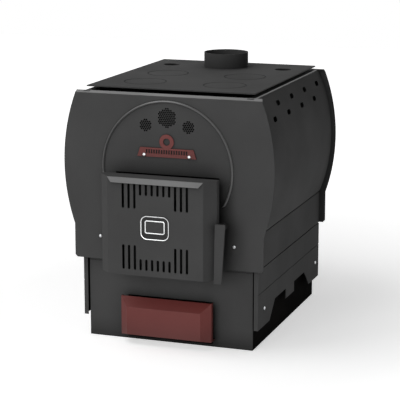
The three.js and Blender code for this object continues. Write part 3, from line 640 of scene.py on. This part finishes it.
def casing_tree():
    sizes = ["Length", "Rear end Y", "Vent length", "Vent height", "Vent pitch", "First vent Y"]
    tree, given = begin_tree("rolled_side", sizes + ["Cut X", "Lower row Z", "Upper row Z"])
    bar = plate(tree, drawn(tree, given["Shape"]), given["Length"])
    rear = vector(tree, Y=given["Rear end Y"])
    sheet = placed(tree, bar, Rotation=UPRIGHT, Translation=rear)
    end_radius = times(tree, given["Vent height"], 0.5)
    half_length = times(tree, given["Vent length"], 0.5)
    apart = vector(tree, Y=math_of(tree, "SUBTRACT", half_length, end_radius))
    turned = {0: apart, 1: (0, -1, 0)}
    back = add(tree, "ShaderNodeVectorMath", turned, operation="MULTIPLY").outputs[0]
    end = drill(tree, 24, end_radius, VENT_CUT)
    ends = together(tree, *[placed(tree, end, Translation=shift) for shift in (apart, back)])
    slot = add(tree, "GeometryNodeConvexHull", {"Geometry": ends}).outputs[0]
    pitch = vector(tree, Y=given["Vent pitch"])
    rows = []
    for label, shift in (("Lower row Z", 0.0), ("Upper row Z", 0.5)):
        along = times(tree, given["Vent pitch"], shift)
        first = math_of(tree, "ADD", given["First vent Y"], along)
        start = vector(tree, X=given["Cut X"], Y=first, Z=given[label])
        rows.append(row_of_points(tree, 4, start, pitch))
    vents = copies(tree, together(tree, *rows), slot, Rotation=(0, math.pi / 2, 0))
    return end_tree(tree, carved(tree, sheet, vents), given["Material"])


values = {
    "Length": side_high[1] - side_low[1],
    "Rear end Y": side_high[1],
    "Vent length": 28 * mm,
    "Vent height": 12.5 * mm,
    "Vent pitch": 121 * mm,
    "First vent Y": panel_front_y + 100 * mm,
    "Cut X": 246 * mm,
    "Lower row Z": 577 * mm,
    "Upper row Z": 609 * mm,
    "Material": stove_paint,
}
section = loops_mesh("side_section", side_section())
right_casing = soften(grow("side_casing_right_sheet", casing_tree(), section, values), 0.3, 1)
left_casing = mirrored_copy(right_casing, "side_casing_left_sheet")
SHINE = 4 * mm  # how far down from the top the bend shines
for casing, node in ((right_casing, "side_casing_right"), (left_casing, "side_casing_left")):
    dress(casing, stove_paint, "grey_paint", "stove", node)
    catch_light(casing, side_high[2] - SHINE)
print("side sheet faces:", len(right_casing.data.polygons))

# %% [markdown]
# The door's cover is bent from one sheet: a flat face, two bevels and two short sides, with a
# bend radius of 3 mm at each fold. Its plan is drawn as an outline whose corners are replaced by
# arcs, on the sheet's outer face and on its inner one, so the wall keeps its thickness.

# %% The cover's plan
cover_low, cover_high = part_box("door_cover")
COVER_SHEET = 2 * mm
FACE_HALF = 125 * mm
BEVEL_DEPTH = 27 * mm
BEND = 3 * mm


def rounded(points, radius, steps=5):
    out = [points[0]]
    for before, corner, after in zip(points, points[1:], points[2:]):
        here = Vector(corner)
        a = (Vector(before) - here).normalized()
        b = (Vector(after) - here).normalized()
        half = a.angle(b) / 2
        run = radius / math.tan(half)
        centre = here + (a + b).normalized() * (radius / math.sin(half))
        start = here + a * run - centre
        sweep = start.angle_signed(here + b * run - centre)
        for i in range(steps + 1):
            turned = Matrix.Rotation(-sweep * i / steps, 2) @ start
            out.append(tuple(centre + turned))
    return out + [points[-1]]


def cover_plan():
    half = cover_high[0]
    face, back = cover_low[1], cover_high[1]
    outer = [(half, back), (half, face + BEVEL_DEPTH), (FACE_HALF, face)]
    slip = COVER_SHEET * math.tan(math.radians(22.5))
    side = half - COVER_SHEET
    inner = [(side, back), (side, face + BEVEL_DEPTH + slip)]
    inner += [(FACE_HALF - slip, face + COVER_SHEET)]
    outline = rounded(outer + [(-x, y) for x, y in reversed(outer)], BEND)
    lining = rounded(inner + [(-x, y) for x, y in reversed(inner)], BEND - COVER_SHEET)
    return outline, lining


outline, lining = cover_plan()
print("cover plan points:", len(outline), len(lining))

# %% [markdown]
# On the real cover 24 slots with round ends are punched through the face before it is bent: long
# ones at each end of a row and short ones between. Here the plan is raised to the door's height
# first, and punches placed on lines of points cut the slots, which gives the same cover.

# %% The punched and folded cover
SLOT_MARGIN = 14.5 * mm
PUNCH_DEPTH = 8 * mm
PUNCH_START = 5 * mm  # behind the cover's face
# Length, slots in a group, and each group's first slot, counted in pitches from the middle.
SLOT_GROUPS = (("Long slot", 3, (-5.5, 3.5)), ("Short slot", 6, (-2.5,)))


def cover_tree():
    sizes = ["Height", "Bottom Z", "Face Y", "Slot width", "Slot pitch", "Long slot", "Short slot"]
    tree, given = begin_tree("punched_cover", sizes + ["Upper edge Z", "Lower edge Z"])
    wall = plate(tree, drawn(tree, given["Shape"]), given["Height"])
    shell = placed(tree, wall, Translation=vector(tree, Z=given["Bottom Z"]))
    pitch = vector(tree, X=given["Slot pitch"])
    cutters = []
    for label, count, firsts in SLOT_GROUPS:
        size = {"Width": given["Slot width"], "Height": given[label]}
        edge = add(tree, "GeometryNodeCurvePrimitiveQuadrilateral", size).outputs[0]
        radius = times(tree, given["Slot width"], 0.499)  # a full half would close the short sides
        fillet = {"Curve": edge, "Radius": radius, "Count": 6}
        ends = add(tree, "GeometryNodeFilletCurve", fillet, mode="POLY").outputs[0]
        punch = plate(tree, ends, PUNCH_DEPTH)
        half = times(tree, given[label], 0.5)
        high = math_of(tree, "SUBTRACT", given["Upper edge Z"], half)
        low = math_of(tree, "ADD", given["Lower edge Z"], half)
        for z in (high, low):
            for first in firsts:
                x = times(tree, given["Slot pitch"], first)
                start = vector(tree, X=x, Y=given["Face Y"], Z=z)
                row = row_of_points(tree, count, start, pitch)
                cutters.append(copies(tree, row, punch, Rotation=UPRIGHT))
    slotted = carved(tree, shell, together(tree, *cutters))
    return end_tree(tree, slotted, given["Material"])


section = loops_mesh("cover_section", outline + lining[::-1])
values = {
    "Height": cover_high[2] - cover_low[2],
    "Bottom Z": cover_low[2],
    "Face Y": cover_low[1] + PUNCH_START,
    "Slot width": 6.3 * mm,
    "Slot pitch": 15.2 * mm,
    "Long slot": 62.5 * mm,
    "Short slot": 28.5 * mm,
    "Upper edge Z": cover_high[2] - SLOT_MARGIN,
    "Lower edge Z": cover_low[2] + SLOT_MARGIN,
    "Material": stove_paint,
}
cover = grow("door_cover_sheet", cover_tree(), section, values)
print("cover faces:", len(cover.data.polygons))

# %% [markdown]
# The cover's top and bottom are flat ends welded in flush. They follow the inner side of the
# folded plan, so the same line of points is skinned over the sheet's thickness.


# %% The cover's ends
def cap(name, bottom):
    levels = (bottom, bottom + COVER_SHEET)
    return skin(name, [[(x, y, z) for x, y in lining] for z in levels])


top_end = cap("cover_top", cover_high[2] - COVER_SHEET)
bottom_end = cap("cover_bottom", cover_low[2])
merge_into(soften(cover, 0.3), top_end, bottom_end)
dress(cover, stove_paint, "grey_paint", "door", "door_cover")
print("cover size, mm:", size_of("door_cover"))

# %% [markdown]
# The remaining sheets are already the right shape. Each is welded into one mesh, its flat
# triangles are dissolved, and a narrow bevel softens its edges. Thick or cast pieces get a wider
# bevel, as they have in life. The arch over the door is a narrow strip with a rounded crest, so
# its bevel is wide and has more steps.

# %% Plain sheets with soft edges
SOFTENED = [
    (0.35, stove_paint, ["side_skirt_right", "side_skirt_left"]),
    (0.4, stove_paint, ["panel_spacer_left", "panel_spacer_right", "firebox_floor"]),
    (0.5, stove_paint, ["base_front", "base_rear", "latch_strike"]),
    (0.5, stove_paint, ["hinge_bracket_lower", "hinge_bracket_upper"]),
    (0.5, stove_paint, ["hinge_knuckle_lower", "hinge_knuckle_upper"]),
    (0.6, stove_paint, ["door_plate", "door_neck", "flue_collar", "latch_pin", "latch_cam"]),
    (1.2, stove_paint, ["latch_lever"]),
    (0.5, visor_highlight_paint, ["door_visor"]),
    (0.6, red_paint, ["drawer_front"]),
    (0.5, zinc_plate, ["hinge_pin_lower", "hinge_pin_upper"]),
    (1.5, cast_iron, ["grate"]),
    (0.5, soot_and_shade_black, ["drawer_tray"]),
    (0.6, soot_and_shade_black, ["firebox_front", "firebox_rear", "firebox_shell"]),
    (0.8, soot_and_shade_black, ["door_shield"]),
]
riders = frame["record"]["behaviour"]["bodies"]
bodies = {node: body for body, nodes in riders.items() for node in nodes}
slots = {part["node"]: part["material_slot"] for part in frame["record"]["subparts"]}
for width, material, nodes in SOFTENED:
    for node in nodes:
        dress(soften(welded_copy(node), width), material, slots[node], bodies[node], node)
arch = soften(welded_copy("arch_trim"), 1.2, 5)
dress(arch, edge_paint, "grey_paint", "stove", "arch_trim")
print("softened pieces:", sum(len(nodes) for _, _, nodes in SOFTENED) + 1)

# %% [markdown]
# The cooking top is a 3 mm plate. Four rings mark where pots stand, rolled in as shallow round
# grooves, and two round holes let warm air out. The grooves are cut with four thin hoops, because
# a real groove catches the light on one side only, which a bump can't do at a low angle.

# %% The cooking top
RISER_X = 160 * mm
RISER_RADIUS = 22.25 * mm
COLLAR_GAP = 0.3 * mm
EDGE_STRIP = 5 * mm
top_low, top_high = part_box("cooktop_plate")


def cooktop_tree():
    sizes = ["Thickness", "Bottom Z", "Ring radius", "Groove radius", "Ring X", "Ring front Y"]
    tree, given = begin_tree("ringed_plate", sizes + ["Ring rear Y"])
    flat = plate(tree, drawn(tree, given["Shape"]), given["Thickness"])
    raised = placed(tree, flat, Translation=vector(tree, Z=given["Bottom Z"]))
    path = ring(tree, 96, given["Ring radius"])
    bent = {"Curve": path, "Profile Curve": ring(tree, 12, given["Groove radius"])}
    hoop = add(tree, "GeometryNodeCurveToMesh", bent).outputs[0]
    top = math_of(tree, "ADD", given["Bottom Z"], given["Thickness"])
    hoops = []
    for side in (-1, 1):
        for label in ("Ring front Y", "Ring rear Y"):
            x = times(tree, given["Ring X"], side)
            place = vector(tree, X=x, Y=given[label], Z=top)
            hoops.append(placed(tree, hoop, Translation=place))
    grooved = carved(tree, raised, together(tree, *hoops))
    return end_tree(tree, grooved, given["Material"])


def in_groove(face):
    x, y, z = face.center
    at_side = abs(x) > top_high[0] - EDGE_STRIP
    at_end = min(y - top_low[1], top_high[1] - y) < EDGE_STRIP
    below_top = top_low[2] + 0.5 * mm < z < top_high[2] - 0.15 * mm
    return below_top and face.normal.z > 0.2 and not (at_side or at_end)


collar_low, collar_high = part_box("flue_collar")
collar_centre = [(collar_low[i] + collar_high[i]) / 2 for i in (0, 1)]
collar_radius = (collar_high[0] - collar_low[0]) / 2
riser_y = top_low[1] + 447.5 * mm
loops = [rectangle(top_low, top_high), circle(collar_centre, collar_radius + COLLAR_GAP, 64)]
loops += [circle((side * RISER_X, riser_y), RISER_RADIUS, 40) for side in (-1, 1)]
values = {
    "Thickness": top_high[2] - top_low[2],
    "Bottom Z": top_low[2],
    "Ring radius": 53.5 * mm,
    "Groove radius": 1.5 * mm,
    "Ring X": 107 * mm,
    "Ring front Y": top_low[1] + 112 * mm,
    "Ring rear Y": top_low[1] + 277 * mm,
    "Material": stove_paint,
}
cooktop = grow("cooktop_sheet", cooktop_tree(), loops_mesh("cooktop", *loops), values)
dress(soften(cooktop, 0.4), stove_paint, "grey_paint", "stove", "cooktop_plate")
# the grooves' floors take a darker grey: painted shade in the grooves
tint(cooktop, badge_field_and_groove_shade_paint, in_groove)
print("cooking top faces:", len(cooktop.data.polygons))

# %% [markdown]
# The casing is held by pan-head screws with a cross recess. One head is made from a line whose
# radius shrinks along it like a dome, the cross is cut out, and copies are set on points that
# carry the direction they face. All of them are on the stove's body, so they are one mesh.

# %% Screw heads
HEAD_HEIGHT = 2.6 * mm
DOME = 0.8  # of the squared radius that is lost towards the top of the head
CROSS_LENGTH = 1.1  # of the head's radius
CROSS_WIDTH = 0.22


def screw_tree():
    tree, given = begin_tree("pan_head_screws", ["Head radius", "Head height"])
    tall = given["Head height"]
    line = add(tree, "GeometryNodeCurvePrimitiveLine", {"End": (0, 0, 1)}).outputs[0]
    axis = add(tree, "GeometryNodeResampleCurve", {"Curve": line, "Count": 9}).outputs[0]
    along = add(tree, "GeometryNodeSplineParameter").outputs["Factor"]
    lost = times(tree, times(tree, along, along), DOME)
    left = math_of(tree, "SQRT", math_of(tree, "SUBTRACT", 1.0, lost))
    shape = {"Curve": axis, "Profile Curve": ring(tree, 28, 1.0), "Fill Caps": True}
    shape["Scale"] = times(tree, left, given["Head radius"])
    head = add(tree, "GeometryNodeCurveToMesh", shape).outputs[0]
    head = placed(tree, head, Scale=vector(tree, X=1.0, Y=1.0, Z=tall))
    head = add(tree, "GeometryNodeFlipFaces", {"Mesh": head}).outputs[0]
    long_side = times(tree, given["Head radius"], CROSS_LENGTH)
    short_side = times(tree, given["Head radius"], CROSS_WIDTH)
    arms = []
    for x, y in ((long_side, short_side), (short_side, long_side)):
        arm = add(tree, "GeometryNodeMeshCube", {"Size": vector(tree, X=x, Y=y, Z=tall)})
        arms.append(placed(tree, arm.outputs["Mesh"], Translation=vector(tree, Z=tall)))
    facing = add(
        tree, "GeometryNodeInputNamedAttribute", {"Name": "facing"}, data_type="FLOAT_VECTOR"
    )
    turn = {"Vector": facing.outputs[0]}
    turn = add(tree, "FunctionNodeAlignRotationToVector", turn, axis="Z").outputs[0]
    heads = copies(tree, given["Shape"], carved(tree, head, *arms), Rotation=turn)
    return end_tree(tree, heads, given["Material"])


screw_nodes = sorted(node for node in frame["nodes"] if "_screw_" in node)
places, directions = [], []
for node in screw_nodes:
    low, high = (Vector(corner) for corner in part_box(node))
    middle = (low + high) / 2
    if "skirt" in node:
        side = 1 if "right" in node else -1
        tip = high.x if side > 0 else low.x
        places.append((tip - side * HEAD_HEIGHT, middle.y, middle.z))
        directions.append((side, 0, 0))
    else:
        places.append((middle.x, low.y + HEAD_HEIGHT, middle.z))
        directions.append((0, -1, 0))
points = bpy.data.meshes.new("screw_points")
points.from_pydata(places, [], [])
facing = points.attributes.new("facing", "FLOAT_VECTOR", "POINT")
for item, direction in zip(facing.data, directions):
    item.vector = direction
values = {"Head radius": 4.5 * mm, "Head height": HEAD_HEIGHT, "Material": zinc_plate}
screws = grow("casing_screws", screw_tree(), points, values)
dress(screws, zinc_plate, "zinc", "stove", *screw_nodes)
print("screws:", len(screw_nodes), "faces:", len(screws.data.polygons))

# %% [markdown]
# The bar under the grilles is a thin laser-cut plate with a ring above it. A row of upright slots
# makes it light. The slots and the ring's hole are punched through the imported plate, because its
# outline is already right.

# %% The slotted bar
BAR_CUT = 8 * mm


def slotted_tree():
    sizes = ["Slot width", "Slot height", "Slot pitch", "Slot count", "Slot Z", "Front Y"]
    tree, given = begin_tree("slotted_bar", sizes + ["Ring radius", "Ring Z"])
    size = vector(tree, X=given["Slot width"], Y=BAR_CUT, Z=given["Slot height"])
    punch = add(tree, "GeometryNodeMeshCube", {"Size": size}).outputs["Mesh"]
    gaps = math_of(tree, "SUBTRACT", given["Slot count"], 1.0)
    first = times(tree, times(tree, gaps, given["Slot pitch"]), -0.5)
    start = vector(tree, X=first, Y=given["Front Y"], Z=given["Slot Z"])
    pitch = vector(tree, X=given["Slot pitch"])
    punches = copies(tree, row_of_points(tree, given["Slot count"], start, pitch), punch)
    centre = vector(tree, Y=given["Front Y"], Z=given["Ring Z"])
    hole = drill(tree, 32, given["Ring radius"], BAR_CUT)
    hole = placed(tree, hole, Rotation=UPRIGHT, Translation=centre)
    cut = carved(tree, given["Shape"], together(tree, punches, hole))
    return end_tree(tree, cut, given["Material"])


bar_low, bar_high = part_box("name_bar")
values = {
    "Slot width": 3.6 * mm,
    "Slot height": 10 * mm,
    "Slot pitch": 6.6 * mm,
    "Slot count": 17.0,
    "Slot Z": bar_low[2] + 13.5 * mm,
    "Front Y": bar_low[1],
    "Ring radius": 9 * mm,
    "Ring Z": bar_high[2] - 19 * mm,
    "Material": red_paint,
}
plain_bar = welded_copy("name_bar")
bar = grow("slotted_name_bar", slotted_tree(), plain_bar.data, values)
bpy.data.objects.remove(plain_bar)
dress(soften(bar, 0.3), red_paint, "red_paint", "stove", "name_bar")
print("bar faces:", len(bar.data.polygons))

# %% [markdown]
# The badge is a plain pressed plate: two satin rims, one inside the other, on a dark sunk field.
# A press forms it in one stroke. Here its rounded outline is drawn again at each change of height
# and skinned from one to the next, so the rims are real steps.

# %% The badge
BADGE_CORNER = 16 * mm
BADGE_TRIM = (1.5 * mm, 3 * mm)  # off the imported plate's lower and upper edge
INNER_FRAME = 10 * mm  # rings further in than this belong to the inner frame
FRAME_LIFT = 2.2 * mm
# Inset from the edge and depth below the rims, in mm. The plate's back comes before these.
BADGE_STEPS = [(0, 0.3), (0.3, 0), (1.8, 0), (2.1, 0.7), (11, 0.7), (11.3, 0), (13.1, 0)]
BADGE_STEPS += [(13.4, 0.7)]
SUNK_STEP = 4  # the step between the two frames


def rounded_square(half_x, half_z, radius, steps=8):
    loop = []
    painted_shade = ((1, 1), (-1, 1), (-1, -1), (1, -1))
    for quarter, (sx, sz) in enumerate(painted_shade):
        for i in range(steps + 1):
            turn = math.pi / 2 * (quarter + i / steps)
            x = sx * (half_x - radius) + radius * math.cos(turn)
            loop.append((x, sz * (half_z - radius) + radius * math.sin(turn)))
    return loop


def badge_rings():
    low, high = (Vector(corner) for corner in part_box("door_badge"))
    low.z += BADGE_TRIM[0]
    high.z -= BADGE_TRIM[1]
    half = (high - low) / 2
    centre = (low + high) / 2
    levels = [(0.0, high.y)] + [(inset * mm, low.y + deep * mm) for inset, deep in BADGE_STEPS]
    rings = []
    for inset, y in levels:
        lift = FRAME_LIFT if inset > INNER_FRAME else 0.0
        loop = rounded_square(half.x - inset, half.z - inset - lift, BADGE_CORNER - inset)
        rings.append([(centre.x + x, y, centre.z + lift + z) for x, z in loop])
    return rings


rings = badge_rings()
badge = skin("badge_plate", rings)
shade(badge)  # a first pass, on whose normals the one in dress builds: it brightens the rims
dress(badge, satin_aluminium, "zinc", "door", "door_badge")
middle_face = len(badge.data.polygons) - 1
tint(badge, badge_field_and_groove_shade_paint, lambda face: face.index // len(rings[0]) == SUNK_STEP)
tint(badge, stove_paint, lambda face: face.index == middle_face)
print("badge faces:", len(badge.data.polygons))

# %% [markdown]
# Behind the slotted cover lies a near-black sheet. It is painted shade for the cover's hollow, and
# it is what makes the slots look deep. It is one rounded outline, drawn at its two faces, because
# nothing of it but a flat face is ever seen.

# %% Painted shade behind the cover
SHADE_SHEET_GAP = 2 * mm
SHADE_SHEET_MARGIN = 5 * mm
SHADE_SHEET_CORNER = 8 * mm
SHADE_SHEET_FACES = (2.2 * mm, 0.6 * mm)  # in front of the cover's back edge

half_x = cover_high[0] - COVER_SHEET - SHADE_SHEET_GAP
half_z = (cover_high[2] - cover_low[2]) / 2 - SHADE_SHEET_MARGIN
middle_z = (cover_high[2] + cover_low[2]) / 2
edge = rounded_square(half_x, half_z, SHADE_SHEET_CORNER)
faces = [[(x, cover_high[1] - depth, middle_z + z) for x, z in edge] for depth in SHADE_SHEET_FACES]
shade_sheet = skin("painted_shade_sheet", faces)
# the sheet is dark as painted shade in the cover's hollow
dress(shade_sheet, slot_shade_paint, "firebox_black", "door")
print("board faces:", len(shade_sheet.data.polygons))

# %% [markdown]
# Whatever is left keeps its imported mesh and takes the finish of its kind. These pieces lie deep
# inside the casing, or under the ash.

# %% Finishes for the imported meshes
FINISHES = {
    "grey_paint": stove_paint,
    "firebox_black": soot_and_shade_black,
    "red_paint": red_paint,
    "zinc": zinc_plate,
    "cast_iron": cast_iron,
    "rope": glass_rope,
}
# The base's side walls under the skirts take the near-black finish too: there it is painted shade.
for node, packed in frame["nodes"].items():
    for holder in packed.material_slots:
        holder.link = "OBJECT"
        holder.material = FINISHES[slots[node]]
print("packed meshes finished:", len(frame["nodes"]))

# %% [markdown]
# The studio is a pale floor before a white background. A paper sweep lit on its own would do that
# in life. Here both are white only to the camera and in reflections, so they put no extra light on
# the stove, and the floor's glow fades near the stove so that a soft shadow can be seen.

# %% Floor and world
FLOOR_HALF = 6.0
SKY_LEVEL = 0.07


def looked_at(tree):
    path = add(tree, "ShaderNodeLightPath").outputs
    mirrored = math_of(tree, "MAXIMUM", path["Is Glossy Ray"], path["Is Transmission Ray"])
    return math_of(tree, "MAXIMUM", path["Is Camera Ray"], mirrored)


def floor_material():
    material, tree = blank_material("pale_floor")
    matt = {"Base Color": linear("#f7f7f7"), "Roughness": 0.9}
    shader = add(tree, "ShaderNodeBsdfPrincipled", matt)
    place = add(tree, "ShaderNodeTexCoord").outputs["Object"]
    away = add(tree, "ShaderNodeVectorMath", {0: place}, operation="LENGTH").outputs["Value"]
    fade = {"Value": away, "From Min": 0.6, "From Max": 2.4, "To Min": 0.52, "To Max": 1.0}
    fade = add(tree, "ShaderNodeMapRange", fade).outputs["Result"]
    glow = add(tree, "ShaderNodeEmission", {"Strength": times(tree, looked_at(tree), fade)})
    both = add(tree, "ShaderNodeAddShader", {0: shader.outputs["BSDF"], 1: glow.outputs[0]})
    add(tree, "ShaderNodeOutputMaterial", {"Surface": both.outputs[0]})
    return material


ground = bpy.data.meshes.new("studio_floor")
painted_shade = rectangle((-FLOOR_HALF, -FLOOR_HALF), (FLOOR_HALF, FLOOR_HALF))
ground.from_pydata([(x, y, 0) for x, y in painted_shade], [], [(0, 1, 2, 3)])
floor = new_object("studio_floor", ground)
floor.data.materials.append(floor_material())

world = bpy.data.worlds.new("studio")
bpy.context.scene.world = world
world.use_nodes = True
tree = world.node_tree
tree.nodes.clear()
levels = [
    add(tree, "ShaderNodeBackground", {"Color": grey(1.0), "Strength": strength}).outputs[0]
    for strength in (SKY_LEVEL, 1.0)
]
mixed = add(tree, "ShaderNodeMixShader", {0: looked_at(tree), 1: levels[0], 2: levels[1]})
add(tree, "ShaderNodeOutputWorld", {"Surface": mixed.outputs[0]})
print("floor and sky ready")

# %% [markdown]
# Catalogue pictures are lit by broad boxes of white cloth, which keep the shadows soft. The one in
# front gives the sheets their level, the one overhead lights the bends and the cooking top, and a
# weak one low on the right lifts the foot of the side, as light thrown back by a pale floor would.

# %% Lamps
# Name, place, target, width, height and power.
SOFTBOXES = [
    ("front_softbox", (-0.3, -4.4, 1.2), (0, 0, 0.35), 3.2, 2.4, 96),
    ("overhead_softbox", (-1.4, -0.9, 3.2), (0, 0, 0.5), 2.4, 2.4, 48),
    ("low_softbox", (1.05, 0.0, 0.02), (0.25, 0, 0.2), 1.4, 0.5, 2.2),
]
for name, place, target, width, height, power in SOFTBOXES:
    lamp = bpy.data.lights.new(name, "AREA")
    lamp.shape = "RECTANGLE"
    lamp.size = width
    lamp.size_y = height
    lamp.energy = power
    holder = new_object(name, lamp)
    direction = Vector(target) - Vector(place)
    holder.rotation_euler = direction.to_track_quat("-Z", "Y").to_euler()
    holder.location = place
print("lamps:", len(bpy.data.lights))

# %% [markdown]
# The camera stands to the right of the door, a little above the cooking top, and looks down at
# the stove through a long lens, as for a catalogue picture.

# %% Camera
CAMERA_PLACE = (1.3488, -3.8271, 1.2119)
CAMERA_TURN = math.radians(19.42)
CAMERA_DOWN = math.radians(12.34)
SENSOR = 36
LENS = 141.4
eye = bpy.data.cameras.new("catalogue_camera")
eye.sensor_width = SENSOR
eye.lens = LENS
camera = new_object("catalogue_camera", eye)
camera.location = CAMERA_PLACE
camera.rotation_euler = (math.pi / 2 - CAMERA_DOWN, 0, CAMERA_TURN)
bpy.context.scene.camera = camera
bpy.context.scene.view_settings.view_transform = "Standard"
print("camera looks down by", round(math.degrees(CAMERA_DOWN), 1), "degrees")
